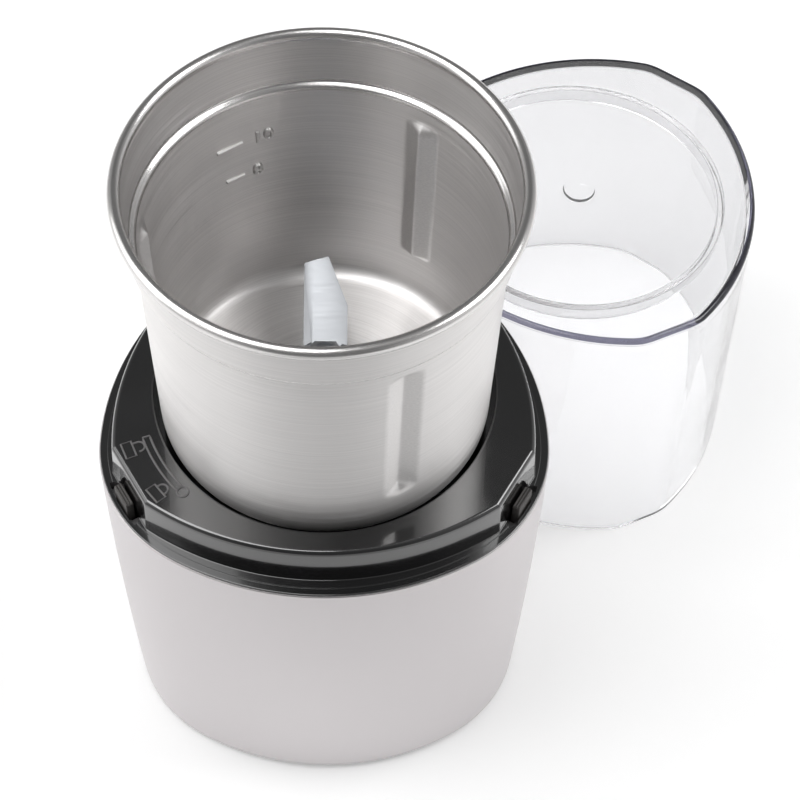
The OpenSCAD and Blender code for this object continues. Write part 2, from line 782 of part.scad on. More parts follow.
// Spring-steel lever between the ring's foot and the switch plunger
module switch_lever() {
    across = switch_r0 + switch_body[0] / 2 - lever_w / 2;
    color("#b9bcc0") rotate([0, 0, switch_az]) translate([across, lever_t0, z_lever]) {
        rotate([lever_rest, 0, 0]) translate([0, 0, -lever_t / 2])
            cube([lever_w, lever_arm / cos(lever_rest), lever_t]);
        rotate([0, 90, 0]) cylinder(h = lever_w, r = 0.6, $fn = 32);
    }
}

// Plunger of the start switch
module switch_plunger() {
    color("#c8462e") rotate([0, 0, switch_az])
        translate([switch_r0 + switch_body[0] / 2, lever_t0 + plunger_arm, z_switch_top - 2.5])
        cylinder(h = z_plunger_top - z_switch_top + 2.5, r = plunger_r, $fn = 32);
}

// Capacitor that keeps motor noise off the mains
module noise_capacitor() {
    color("#d9b44a") translate([switch_r0, -capacitor[1] / 2, z_capacitor]) cube(capacitor);
}

// Terminal block behind the cord inlet
module terminal_block() {
    color("#e4e1d8") translate([0, 0, z_terminal]) difference() {
        translate([-terminal[0] / 2, terminal_r0, 0])
            cube([terminal[0], terminal[1] - fit, terminal[2]]);
        for (s = [-1, 1]) translate([s * terminal[0] / 4, terminal_r0 - 1, terminal[2] / 2])
            rotate([-90, 0, 0]) cylinder(h = terminal[1] + 3, r = 1.4);
    }
}

// MOTOR

// Plan of a motor bracket: a ring with arms to the four bolts and to any given mounts
module bracket_plan(mounts) {
    union() {
        circle(bearing_r + bearing_wall + 5);
        for (a = [45, 135]) rotate(a)
            square([2 * sqrt(2) * post_at, 2 * post_r], center = true);
        for (x = [-1, 1], y = [-1, 1]) translate([x, y] * post_at) circle(post_r);
        for (az = mounts) rotate(az) {
            translate([0, -mount_r]) square([mount_reach, 2 * mount_r]);
            translate([mount_reach, 0]) circle(mount_r);
        }
    }
}

// Upper motor bracket with the top bearing seat and posts down to the stator
module motor_upper_bracket() {
    seat = bearing_r + bearing_wall;
    color("#b7babd") difference() {
        union() {
            translate([0, 0, z_bracket]) linear_extrude(bracket_t) bracket_plan(corner_az);
            translate([0, 0, z_up_bearing - 1]) cylinder(h = bearing_h + 1, r = seat);
            at_bolts() translate([0, 0, z_stack_top]) cylinder(h = post_up + 1, r = post_r);
        }
        translate([0, 0, z_up_bearing]) cylinder(h = bearing_h + 1, r = bearing_r + run_fit);
        translate([0, 0, z_up_bearing - 2]) cylinder(h = 3, r = motor_shaft_r + 1);
        at_bolts() translate([0, 0, z_stack_top - 1]) cylinder(h = post_up + bracket_t + 2, r = bolt[0] + fit);
        around(corner_az, mount_reach)
            translate([0, 0, z_bracket - 1]) cylinder(h = bracket_t + 2, r = screw[0] + fit);
    }
}

// Copies the children to the four stator bolts
module at_bolts() {
    for (x = [-1, 1], y = [-1, 1]) translate([x * post_at, y * post_at, 0]) children();
}

// Lower motor bracket with the bottom bearing seat and posts up to the stator
module motor_lower_bracket() {
    seat = bearing_r + bearing_wall;
    color("#b7babd") difference() {
        union() {
            translate([0, 0, z_low]) linear_extrude(bracket_t) bracket_plan([]);
            translate([0, 0, z_low_bearing - 1]) cylinder(h = bearing_h + 1, r = seat);
            at_bolts() translate([0, 0, z_low]) cylinder(h = bracket_t + post_low, r = post_r);
            // stands for the two brush holders
            for (s = [-1, 1]) translate([-4, s * (commutator_r + 8) - 3, z_low_top - 1])
                cube([8, 6, z_brush - brush_w / 2 - holder_wall - z_low_top + 1]);
        }
        translate([0, 0, z_low_bearing]) cylinder(h = bearing_h + 1, r = bearing_r + run_fit);
        translate([0, 0, z_low_bearing - 2]) cylinder(h = 3, r = motor_shaft_r + 1);
        at_bolts() translate([0, 0, z_low - 1])
            cylinder(h = bracket_t + post_low + 2, r = bolt[0] + fit);
    }
}

// Rubber mounts between the upper bracket and the deck
module motor_mounts() {
    color("#1f1f20") around(corner_az, mount_reach)
        tube(z_bracket_top, z_mount, screw[0] + fit, mount_r - 0.4);
}

// Screws through the rubber mounts
module mount_screws() {
    color("#8d9094") around(corner_az, mount_reach)
        screw_up(z_bracket, screw, bracket_t + mount_h + 6);
}

// Laminated stator with two poles
module stator_core() {
    color("#77797c") translate([0, 0, z_stack]) linear_extrude(stack_h) difference() {
        intersection() {
            square(stator_w, center = true);
            circle(stator_w * 0.64);
        }
        circle(bore_r);
        for (s = [-1, 1]) scale([1, s])
            translate([-window_half, bore_r + coil_wall - coil_play])
            square([2 * window_half, coil_t + 2 * coil_play]);
        for (x = [-1, 1], y = [-1, 1]) translate([x, y] * post_at) circle(bolt[0] + fit);
    }
}

// Two field coils: sides through the stator windows, bundles across its ends
module field_coils() {
    side_y = bore_r + coil_wall;
    out_y = side_y + coil_t;
    up = coil_h - coil_play;
    color("#b5622f") for (s = [-1, 1]) scale([s, 1, 1]) {
        for (t = [-1, 1]) translate([coil_in, t > 0 ? side_y : -out_y, z_stack - up])
            cube([coil_side - coil_in, coil_t, stack_h + 2 * up]);
        for (z = [z_stack - coil_play - coil_h, z_stack_top + coil_play])
            translate([0, 0, z]) linear_extrude(coil_h) difference() {
                polygon([[coil_in, out_y], [coil_side, out_y], [coil_end, coil_flat],
                    [coil_end, -coil_flat], [coil_side, -out_y], [coil_in, -out_y]]);
                circle(bore_r + 2 * coil_play);
            }
    }
}

// Four through bolts that clamp the brackets and the stator
module stator_bolts() {
    color("#9a9da1") at_bolts() {
        translate([0, 0, z_low - 3]) cylinder(h = z_bracket_top - z_low + 3, r = bolt[0], $fn = 32);
        translate([0, 0, z_bracket_top]) cylinder(h = bolt[2], r = bolt[1], $fn = 32);
        translate([0, 0, z_low - 3.2]) cylinder(h = 3.2, r = bolt[1], $fn = 6);
    }
}

// Bearing with its two races, its shield set back between them
module bearing(z) {
    difference() {
        tube(z, z + bearing_h, motor_shaft_r + 0.01, bearing_r);
        for (dz = [-1, bearing_h - 0.4])
            tube(z + dz, z + dz + 1.4, motor_shaft_r + 1.2, bearing_r - 1.2);
    }
}

module upper_bearing() { color("#c2c5c8") bearing(z_up_bearing); }

module lower_bearing() { color("#c2c5c8") bearing(z_low_bearing); }

// Copies the children to both brushes; the child lies along +Y from the commutator
module at_brushes() {
    for (a = [0, 180]) rotate([0, 0, a]) translate([0, commutator_r + 0.1, z_brush]) children();
}

// Brass tubes that guide the brushes
module brush_holders() {
    color("#c9a24b") at_brushes() difference() {
        translate([-brush_t / 2 - holder_wall, 1.5, -brush_w / 2 - holder_wall])
            cube([brush_t + 2 * holder_wall, holder_l - 2, brush_w + 2 * holder_wall]);
        translate([-brush_t / 2 - 0.1, 0, -brush_w / 2 - 0.1])
            cube([brush_t + 0.2, holder_l - 1.5, brush_w + 0.2]);
    }
}

// Carbon brushes, hollowed to the commutator
module carbon_brushes() {
    color("#2f2f31") difference() {
        at_brushes() translate([-brush_t / 2, -0.6, -brush_w / 2]) cube([brush_t, brush_l, brush_w]);
        cylinder(h = 200, r = commutator_r + 0.1);
    }
}

// Coil springs behind the brushes
module brush_springs() {
    color("#a9adb1") at_brushes() rotate([-90, 0, 0])
        coil(brush_l - 0.55, holder_l - 1.55, brush_spring_r, brush_spring_wire, 5);
}

// ROTOR

// Motor shaft from the fan to the drive socket
module motor_shaft() {
    color("#b0b3b6") translate([0, 0, z_motor_shaft])
        cylinder(h = z_motor_shaft_top - z_motor_shaft, r = motor_shaft_r);
}

// Slotted armature stack
module armature_core() {
    color("#6d6f72") translate([0, 0, z_stack]) linear_extrude(stack_h) difference() {
        circle(armature_r);
        circle(motor_shaft_r + 0.01);
        for (i = [0:slot_count - 1]) rotate(i * 360 / slot_count) {
            translate([armature_r - 3.4, 0]) circle(1.6, $fn = 32);
            translate([armature_r - 3.4, -0.6]) square([5, 1.2]);
        }
    }
}

// Copper in the slots, with a dome of end turns over each face
module armature_winding() {
    inner = motor_shaft_r + 1;
    dome = [[inner, 0.1], [winding_r, 0.1], [winding_r, 0.62 * winding_h],
        [winding_r - 1.6, winding_h], [inner, winding_h]];
    color("#b5622f") {
        for (i = [0:slot_count - 1]) rotate([0, 0, i * 360 / slot_count])
            translate([armature_r - 3.4, 0, z_stack - 1]) cylinder(h = stack_h + 2, r = 1.4, $fn = 24);
        translate([0, 0, z_stack_top]) rotate_extrude() polygon(dome);
        translate([0, 0, z_stack]) mirror([0, 0, 1]) rotate_extrude() polygon(dome);
    }
}

// Commutator with its copper bars
module commutator() {
    color("#c07a45") difference() {
        union() {
            tube(z_comm, z_comm_top, motor_shaft_r + 0.01, commutator_r);
            tube(z_comm_top - 1.6, z_comm_top, motor_shaft_r + 0.01, commutator_r + 1.6);
        }
        for (i = [0:slot_count - 1]) rotate([0, 0, (i + 0.5) * 360 / slot_count])
            translate([commutator_r - 0.8, -0.25, z_comm - 1]) cube([5, 0.5, commutator_h + 2]);
    }
}

// Radial fan that draws air down through the motor
module cooling_fan() {
    color("#3c3d40") difference() {
        union() {
            translate([0, 0, z_fan_top - 1.4]) cylinder(h = 1.4, r = fan_r);
            translate([0, 0, z_fan]) cylinder(h = fan_h, r = fan_hub_r);
            translate([0, 0, z_fan]) linear_extrude(fan_h - 1) intersection() {
                circle(fan_r - 1.5);
                for (i = [0:fan_blades - 1]) rotate(i * 360 / fan_blades)
                    translate([fan_hub_r - 1, -0.7]) rotate(-18) square([fan_r, 1.4]);
            }
        }
        translate([0, 0, z_fan - 1]) cylinder(h = fan_h + 2, r = motor_shaft_r + 0.01);
    }
}

// Plan of the driven hub's teeth, grown by a play for the socket
module spline(play) {
    union() {
        circle(hub_root + play);
        intersection() {
            circle(hub_r + play);
            for (i = [0:hub_teeth - 1]) rotate(i * 360 / hub_teeth)
                translate([0, -hub_tooth / 2 - play]) square([hub_r + 5, hub_tooth + 2 * play]);
        }
    }
}

// Drive socket on top of the motor shaft
module drive_socket() {
    color("#4a4c4f") difference() {
        union() {
            translate([0, 0, z_socket_floor - 1.6]) cylinder(h = z_socket_top - z_socket_floor + 1.6, r = socket_r);
            translate([0, 0, z_socket]) cylinder(h = socket_grip, r = motor_shaft_r + 3.4);
        }
        translate([0, 0, z_socket_floor]) linear_extrude(20) spline(socket_play);
        translate([0, 0, z_socket - 1]) cylinder(h = z_motor_shaft_top - z_socket + 1, r = motor_shaft_r + 0.01);
    }
}

// BOWL

// Outline of the bowl's wall, drawn in by t; its foot and mouth are cut square
function bowl_side(t) = concat(
    [[0, z_bowl + t]],
    [for (a = [0:15:90]) [body_low_r - bowl_round + (bowl_round - t) * sin(a),
        z_bowl + bowl_round - (bowl_round - t) * cos(a)]],
    [[body_top_r - t, z_lip - shoulder_drop - shoulder_in],
     [shoulder_r - t, z_lip - shoulder_drop + 0.3],
     [bowl_r - lip_t / 2 - 0.25 - t, z_lip - lip_t / 2],
     [bowl_r - lip_t / 2 - 0.25 - t, z_lip - lip_t / 2 + (t > 0 ? 5 : 0)],
     [0, z_lip - lip_t / 2 + (t > 0 ? 5 : 0)]]);

// Press tools for the flutes, grown by t
module flute_tools(t) {
    r = flute_r + t;
    lean = atan2(body_top_r - body_low_r, z_lip - z_bowl);
    reach = body_low_r + 0.4 - flute_depth + flute_r;
    for (i = [0:flute_count - 1]) rotate([0, 0, flute_az + i * 360 / flute_count])
        translate([reach, 0, flute_low + flute_r / 2]) rotate([0, lean, 0]) {
            sphere(r);
            cylinder(h = flute_up - flute_low - flute_r, r = r);
            translate([0, 0, flute_up - flute_low - flute_r]) sphere(r);
        }
}

// Steel bowl with its rolled lip, shoulder and flutes
module bowl_shell() {
    color("#d5d4d1") difference() {
        union() {
            difference() {
                rotate_extrude() polygon(bowl_side(0));
                flute_tools(0);
            }
            rotate_extrude() translate([bowl_r - lip_t / 2, z_lip - lip_t / 2]) circle(lip_t / 2, $fn = 32);
        }
        difference() {
            rotate_extrude() polygon(bowl_side(bowl_t));
            flute_tools(bowl_t);
        }
        translate([0, 0, z_bowl - 1]) cylinder(h = 4, r = tower_hole);
    }
}

// Black foot under the bowl: locking lugs, bearing tower and screw bosses
module bowl_foot() {
    top = z_bowl - gasket_t;
    color("#202022") difference() {
        union() {
            tube(z_foot, top, bowl_foot_r - foot_wall, bowl_foot_r);
            translate([0, 0, top - 2.4]) cylinder(h = 2.4, r = bowl_foot_r);
            translate([0, 0, z_sleeve_low]) cylinder(h = z_tower - z_sleeve_low, r = tower_r);
            for (az = lug_az) rotate([0, 0, az])
                rotate_extrude(angle = lug_arc, start = -lug_arc / 2)
                    translate([bowl_foot_r - 1, z_foot]) square([foot_lug_out - bowl_foot_r + 1, lug_t]);
            for (i = [0:5]) rotate([0, 0, i * 60])
                translate([tower_r - 1, -0.9, z_foot + 3]) cube([bowl_foot_r - tower_r, 1.8, top - z_foot - 4]);
            around(corner_az, foot_screw_reach) translate([0, 0, z_foot + 2])
                cylinder(h = top - z_foot - 2, r = 3.4);
        }
        translate([0, 0, z_sleeve_low - 1]) cylinder(h = 40, r = sleeve_r + run_fit);
        around(corner_az, foot_screw_reach) translate([0, 0, z_foot])
            cylinder(h = bowl_foot_h, r = screw[0] + fit);
    }
}

// Soft gasket between the bowl's floor and its foot
module foot_gasket() {
    color("#8f9193") difference() {
        tube(z_bowl - gasket_t, z_bowl, tower_hole, bowl_foot_r - 4);
        around(corner_az, foot_screw_reach) translate([0, 0, z_bowl - 2])
            cylinder(h = 4, r = screw[0] + fit);
    }
}

// Screws that hold the foot to studs welded under the bowl
module foot_screws() {
    color("#8d9094") around(corner_az, foot_screw_reach)
        screw_up(z_foot + 2, screw, bowl_foot_h - 2);
}

// Bronze sleeve that carries the blade shaft
module bearing_sleeve() {
    color("#b08a4e") tube(z_sleeve_low, z_seal, shaft_r + run_fit, sleeve_r);
}

// Seal over the bearing sleeve
module shaft_seal() {
    color("#6b6d70") tube(z_seal, z_tower, shaft_r + run_fit, sleeve_r);
}

// Washer between the seal and the blades
module thrust_washer() {
    color("#dddcd8") tube(z_washer, z_washer + washer_t, shaft_r + run_fit, sleeve_r + 1);
}

// BLADES

// Blade shaft, from the driven hub to the nut
module blade_shaft() {
    color("#b9bcbf") translate([0, 0, z_hub]) difference() {
        cylinder(h = z_nut + nut_h - 0.6 - z_hub, r = shaft_r);
        translate([0, 0, z_clip_top - clip_t - z_hub])
            tube(0, clip_t, shaft_r - 0.6, shaft_r + 1);
    }
}

// One blade wing along +X with a knife edge towards +Y, tip cut back at an angle
module wing(length) {
    half = blade_w / 2;
    edge = 2.6;
    intersection() {
        rotate([90, 0, 90]) linear_extrude(length)
            polygon([[-half, 0], [half - edge, 0], [half, blade_t * 0.5], [half - edge, blade_t],
                [-half, blade_t]]);
        translate([0, 0, -1]) linear_extrude(blade_t + 2)
            polygon([[0, -half], [length * 0.45, -half], [length, -half * 0.1],
                [length * 0.93, half], [0, half]]);
    }
}

// Ring at the middle of a blade
module blade_eye(z) {
    tube(z, z + blade_t, shaft_r + 0.02, sleeve_r + 2);
}

// Lower blade, flat, with tips turned up
module lower_blade() {
    flat = blade_r - blade_tip;
    color("#c6c8ca") {
        blade_eye(z_blade);
        for (a = [0, 180]) rotate([0, 0, a]) {
            difference() {
                translate([0, 0, z_blade]) wing(flat + 2);
                translate([0, 0, z_blade - 1]) cylinder(h = blade_t + 2, r = shaft_r + 1);
            }
            // turned-up tip
            translate([flat - 0.8, 0, z_blade]) rotate([0, -50, 0]) linear_extrude(blade_t)
                polygon([[0.3, -0.6], [9, 1.2], [8.2, blade_w / 2 - 1.6], [0.3, blade_w / 2 - 0.6]]);
        }
    }
}

// Spacer between the two blades
module blade_spacer() {
    color("#dddcd8") tube(z_spacer, z_upper, shaft_r + 0.02, sleeve_r + 1);
}

// Upper blade, across the lower one, with wings that rise
module upper_blade() {
    color("#c6c8ca") {
        blade_eye(z_upper);
        for (a = [90, 270]) rotate([0, 0, a]) translate([sleeve_r + 1, 0, z_upper])
            rotate([0, -blade_rise, 0]) wing((blade_r - 7 - sleeve_r) / cos(blade_rise));
    }
}

// Domed nut over the blades
module blade_nut() {
    color("#b4b7ba") difference() {
        union() {
            translate([0, 0, z_nut]) cylinder(h = nut_h - 1.2, r = sleeve_r, $fn = 6);
            translate([0, 0, z_nut + nut_h - 1.2]) cylinder(h = 1.2, r1 = sleeve_r - 0.9, r2 = 2.4);
        }
        translate([0, 0, z_nut - 1]) cylinder(h = nut_h + 0.4, r = shaft_r + 0.02);
    }
}

// Clip in the shaft's groove, under the bearing sleeve
module shaft_clip() {
    color("#8d9094") difference() {
        tube(z_clip_top - clip_t, z_clip_top, shaft_r - 0.58, sleeve_r - 0.4);
        translate([0, -1.2, z_clip_top - 2]) cube([10, 2.4, 4]);
    }
}

// Toothed hub under the bowl that drops into the drive socket
module driven_hub() {
    color("#3f4144") difference() {
        translate([0, 0, z_hub]) linear_extrude(hub_h) spline(0);
        translate([0, 0, z_hub - 1]) cylinder(h = hub_h + 2, r = shaft_r + 0.01);
    }
}

// LID

// Clear lid: bowed sides with flat corners, closed top, collar for the bowl's mouth
module lid_shell() {
    edge = 1.5;
    top_t = 2.6;
    rise = lid_h - top_t;
    outer = concat([lid_ring(0, 0, 0)],
        [for (p = round_top(0, lid_h, edge)) lid_ring(p[0] - lid_taper, p[0] - lid_corner_taper, p[1])]);
    inner = [lid_ring(-lid_t, -lid_t, -1), lid_ring(-lid_taper - lid_t, -lid_corner_taper - lid_t, rise)];
    color("#dfe6ec", 0.45) translate([lid_x, lid_y, 0]) rotate([0, 0, lid_turn]) {
        difference() {
            loft(outer);
            loft(inner);
            translate([0, 0, lid_h - 0.5]) cylinder(h = 1, r1 = 4.4, r2 = 5.4);
        }
        tube(rise - collar_h, rise + 0.5, collar_r - 1.6, collar_r);
    }
}

// Points round the lid at a height; side and corner are its offsets there
function lid_ring(side, corner, z) =
    let (e = lid_bow - lid_reach, r = lid_bow + side,
        half = 60 - acos((lid_corner + corner + e / 2) / r))
    [for (az = side_az) for (i = [0:lid_steps]) let (a = az + half * (2 * i / lid_steps - 1))
        [-e * cos(az) + r * cos(a), -e * sin(az) + r * sin(a), z]];

outer_sleeve();
inner_chassis();
deck();
bottom_cover();
rubber_feet();
cover_screws();
deck_screws();
cord_gland();
motor_upper_bracket();
motor_lower_bracket();
motor_mounts();
mount_screws();
stator_core();
field_coils();
stator_bolts();
upper_bearing();
lower_bearing();
brush_holders();
carbon_brushes();
brush_springs();
switch_body();
switch_screws();
noise_capacitor();
terminal_block();
return_springs();
start_ring();
switch_lever();
switch_plunger();
motor_shaft();
armature_core();
armature_winding();
commutator();
cooling_fan();
drive_socket();
bearing_sleeve();
shaft_seal();
bowl_shell();
bowl_foot();
foot_gasket();
foot_screws();
blade_shaft();
thrust_washer();
lower_blade();
blade_spacer();
upper_blade();
blade_nut();
shaft_clip();
driven_hub();
lid_shell();
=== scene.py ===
"""Looks of a small electric food chopper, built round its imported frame.

Lengths are metres, angles are degrees where a name says so. The base stands with its axis
on X = Y = 0, its back corner towards +Y, and the clear lid stands beside it.
"""

from __future__ import annotations

import json
import logging
import math
import sys
from dataclasses import dataclass
from enum import Enum
from typing import Iterable, Sequence

import bpy
import bmesh
import numpy as np
from bpy.types import ID, Material, Mesh, Node, NodeSocket, NodeTree, Object
from mathutils import Matrix, Vector


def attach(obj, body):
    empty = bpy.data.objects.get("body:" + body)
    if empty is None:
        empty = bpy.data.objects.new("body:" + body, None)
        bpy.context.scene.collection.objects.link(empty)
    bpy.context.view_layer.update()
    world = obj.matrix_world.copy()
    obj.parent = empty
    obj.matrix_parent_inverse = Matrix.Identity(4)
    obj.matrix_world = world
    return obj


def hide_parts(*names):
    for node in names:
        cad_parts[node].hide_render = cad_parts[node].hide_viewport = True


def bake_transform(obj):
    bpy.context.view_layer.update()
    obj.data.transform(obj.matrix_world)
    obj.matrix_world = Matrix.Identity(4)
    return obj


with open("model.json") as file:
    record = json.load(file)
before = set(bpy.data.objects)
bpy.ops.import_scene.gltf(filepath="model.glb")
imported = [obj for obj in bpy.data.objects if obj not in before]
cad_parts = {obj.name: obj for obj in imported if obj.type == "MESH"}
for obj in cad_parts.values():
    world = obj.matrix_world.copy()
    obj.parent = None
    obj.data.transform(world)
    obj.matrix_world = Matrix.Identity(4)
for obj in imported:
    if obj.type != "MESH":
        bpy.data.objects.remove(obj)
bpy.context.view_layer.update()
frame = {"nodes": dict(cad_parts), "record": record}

log = logging.getLogger("chopper")
Points = np.ndarray
# directions of the middles of the three sides, and of the three corners
SIDE_AZ = (270.0, 30.0, 150.0)
CORNER_AZ = (90.0, 210.0, 330.0)
# radius at which a turned section ends, just off the axis
ON_AXIS = 0.00005
# most of a noise's values lie between these two
NOISE_LOW, NOISE_HIGH = 0.3, 0.7


# Numbers and meshes


def linear(code: str) -> tuple[float, float, float, float]:
    """Turn an sRGB hex colour into linear values.

    Args:
        code: Colour as "#rrggbb".

    Returns:
        Linear red, green and blue, and a full alpha.
    """
    raw = [int(code[i : i + 2], 16) / 255 for i in (1, 3, 5)]
    red, green, blue = (c / 12.92 if c <= 0.04045 else ((c + 0.055) / 1.055) ** 2.4 for c in raw)
    return (red, green, blue, 1.0)


def shaded(colour: Sequence[float], factor: float) -> tuple[float, ...]:
    """Make a linear colour darker or lighter by a factor, with a full alpha."""
    return tuple(min(1.0, c * factor) for c in colour[:3]) + (1.0,)


def filleted(points: Sequence[tuple[float, float]], radii: Sequence[float], steps: int) -> Points:
    """Round the bends of an open line.

    Args:
        points: Corners of the line.
        radii: Rounding at each corner; the two ends stay as they are.
        steps: Parts in each rounding.

    Returns:
        The rounded line, one row a point.
    """
    line = [np.array(p, float) for p in points]
    out = [line[0]]
    for i in range(1, len(line) - 1):
        here, before, after = line[i], line[i - 1], line[i + 1]
        a, b = before - here, after - here
        la, lb = np.linalg.norm(a), np.linalg.norm(b)
        a, b = a / la, b / lb
        turn = math.acos(float(np.clip(a @ b, -1, 1)))
        if radii[i] <= 0 or turn > math.pi - 1e-3:
            out.append(here)
            continue
        # a rounding takes a little less than half of each part beside it
        taken = min(radii[i] / math.tan(turn / 2), 0.48 * min(la, lb))
        radius = taken * math.tan(turn / 2)
        middle = (a + b) / np.linalg.norm(a + b) * radius / math.sin(turn / 2) + here
        start, end = here + a * taken - middle, here + b * taken - middle
        sweep = math.acos(float(np.clip(start @ end / radius**2, -1, 1)))
        for k in range(steps + 1):
            t = k / steps
            p = (math.sin((1 - t) * sweep) * start + math.sin(t * sweep) * end) / math.sin(sweep)
            out.append(middle + p)
    out.append(line[-1])
    return np.array(out)


def held(line: Points) -> Points:
    """Add a point near both ends of each long part of a line, so that its flats shade flat.

    Args:
        line: Points of the line.

    Returns:
        The line with the added points.
    """
    gap = 0.00012
    out = [line[0]]
    for a, b in zip(line[:-1], line[1:]):
        length = float(np.linalg.norm(b - a))
        if length > 5 * gap:
            out += [a + (b - a) * gap / length, b - (b - a) * gap / length]
        out.append(b)
    return np.array(out)


def dense(line: Points, step: float) -> Points:
    """Add points to a line so that no part of it is long.

    Args:
        line: Points of the line.
        step: Greatest length of a part.

    Returns:
        The denser line.
    """
    out = [line[0]]
    for a, b in zip(line[:-1], line[1:]):
        parts = max(1, int(math.ceil(np.linalg.norm(b - a) / step)))
        out += [a + (b - a) * k / parts for k in range(1, parts + 1)]
    return np.array(out)


def polar(radius: Points | float, degrees: Points, z: float) -> Points:
    """Points at one radius, or at one for each direction, and at one height."""
    a = np.radians(degrees)
    return np.stack([radius * np.cos(a), radius * np.sin(a), np.full(a.shape, z)], 1)


def place_object(name: str, data: ID) -> Object:
    """Put a mesh, a curve, a lamp or a camera into the scene as an object."""
    obj = bpy.data.objects.new(name, data)
    bpy.context.scene.collection.objects.link(obj)
    return obj


def make_object(name: str, verts: Points, faces: Iterable[Sequence[int]], sharp: float = 30.0) -> Object:
    """Make a mesh object that is smooth except over sharp edges.

    Args:
        name: Name of the piece.
        verts: Points, one row each.
        faces: Corner numbers of each face.
        sharp: Edges that bend more than this many degrees stay sharp.

    Returns:
        The linked object.
    """
    mesh = bpy.data.meshes.new(name)
    mesh.from_pydata([tuple(v) for v in verts], [], [list(f) for f in faces])
    mesh.validate()
    obj = place_object(name, mesh)
    soften(obj, sharp)
    return obj


def soften(obj: Object, sharp: float) -> None:
    """Shade an object smooth, with edges that bend more than a number of degrees kept sharp."""
    obj.data.shade_smooth()
    obj.data.set_sharp_from_angle(angle=math.radians(sharp))


def band(j: int, m: int, n: int, parts: int) -> list[list[int]]:
    """Faces from ring j of m to the next, with n points in a ring; fewer parts than n leave a gap."""
    a, b = j * n, (j + 1) % m * n
    return [[a + i, a + (i + 1) % n, b + (i + 1) % n, b + i] for i in range(parts)]


def loft(name: str, rings: Points, sharp: float) -> Object:
    """Join rings of equal count into a surface that closes on itself.

    Args:
        name: Name of the piece.
        rings: Array of rings, each counter-clockwise seen from above.
        sharp: Angle over which edges stay sharp.

    Returns:
        The object.
    """
    m, n = rings.shape[:2]
    faces = [face for j in range(m) for face in band(j, m, n, n)]
    return make_object(name, rings.reshape(-1, 3), faces, sharp)


def revolve(name: str, section: Points, segments: int) -> Object:
    """Turn a closed section about the Z axis; its radii and heights go round counter-clockwise."""
    angles = np.linspace(0, 360, segments, endpoint=False)
    return loft(name, np.array([polar(r, angles, z) for r, z in section]), 30)


def prism(name: str, outline: Points, z0: float, z1: float) -> Object:
    """Raise a flat outline between two heights.

    Args:
        name: Name of the piece.
        outline: Points of the outline, counter-clockwise.
        z0: Lower height.
        z1: Upper height.

    Returns:
        The object.
    """
    n = len(outline)
    verts = [(x, y, z) for z in (z0, z1) for x, y in outline]
    faces = [list(range(n))[::-1], list(range(n, 2 * n)), *band(0, 2, n, n)]
    return make_object(name, np.array(verts), faces)


def block(name: str, low: Sequence[float], high: Sequence[float]) -> Object:
    """A box between its lowest and its highest corner."""
    (x0, y0, z0), (x1, y1, z1) = low, high
    return prism(name, np.array([(x0, y0), (x1, y0), (x1, y1), (x0, y1)]), z0, z1)


def pillar(name: str, radius: float, z0: float, z1: float, segments: int = 48) -> Object:
    """An upright cylinder on the axis, between two heights."""
    angles = np.linspace(0, 360, segments, endpoint=False)
    return prism(name, polar(radius, angles, 0)[:, :2], z0, z1)


def arc_block(name: str, a0: float, a1: float, r0: float, r1: float, z0: float, z1: float) -> Object:
    """Part of a ring between two directions in degrees, two radii and two heights."""
    angles = np.linspace(a0, a1, max(4, int((a1 - a0) / 3)))
    return prism(name, np.vstack([polar(r1, angles, 0), polar(r0, angles[::-1], 0)])[:, :2], z0, z1)


def final_mesh(obj: Object) -> None:
    """Apply an object's modifiers, leaving a plain mesh.

    Args:
        obj: The object.
    """
    graph = bpy.context.evaluated_depsgraph_get()
    graph.update()
    made = bpy.data.meshes.new_from_object(obj.evaluated_get(graph), depsgraph=graph)
    old = obj.data
    obj.modifiers.clear()
    obj.data = made
    bpy.data.meshes.remove(old)


def cut(obj: Object, cutters: Sequence[Object]) -> None:
    """Cut cutters out of an object, and delete them.

    Args:
        obj: The object that is changed.
        cutters: The objects to take away.
    """
    for tool in cutters:
        change = obj.modifiers.new("cut", "BOOLEAN")
        change.operation = "DIFFERENCE"
        change.solver = "EXACT"
        change.object = tool
    final_mesh(obj)
    for tool in cutters:
        bpy.data.objects.remove(tool)


def bevelled(obj: Object, width: float) -> None:
    """Round an object's sharp edges.

    Args:
        obj: The object.
        width: Width of the rounding.
    """
    change = obj.modifiers.new("round", "BEVEL")
    change.width = width
    change.segments = 3
    change.limit_method = "ANGLE"
    change.angle_limit = math.radians(30)
    change.use_clamp_overlap = True
    final_mesh(obj)
    soften(obj, 35)


def gather(target: Mesh, sources: Iterable[Mesh], merge: float = 0.0, outwards: bool = False) -> None:
    """Fill a mesh from others, of which it may be one.

    Args:
        target: The mesh that is filled.
        sources: The meshes that go into it.
        merge: Points closer than this become one.
        outwards: Turn every face to the outside.
    """
    work = bmesh.new()
    for source in sources:
        work.from_mesh(source)
    if merge:
        bmesh.ops.remove_doubles(work, verts=work.verts, dist=merge)
    if outwards:
        bmesh.ops.recalc_face_normals(work, faces=work.faces)
    work.to_mesh(target)
    work.free()


def joined(name: str, objects: Sequence[Object], sharp: float) -> Object:
    """Put several objects' meshes into one object.

    Args:
        name: Name of the new piece.
        objects: The objects, which are deleted.
        sharp: Angle over which edges stay sharp.

    Returns:
        The new object.
    """
    data = bpy.data.meshes.new(name)
    gather(data, [obj.data for obj in objects])
    slots: list[Material] = []
    for obj in objects:
        slots += [m for m in obj.data.materials if m and m not in slots]
        bpy.data.objects.remove(obj)
    for material in slots:
        data.materials.append(material)
    out = place_object(name, data)
    soften(out, sharp)
    return out


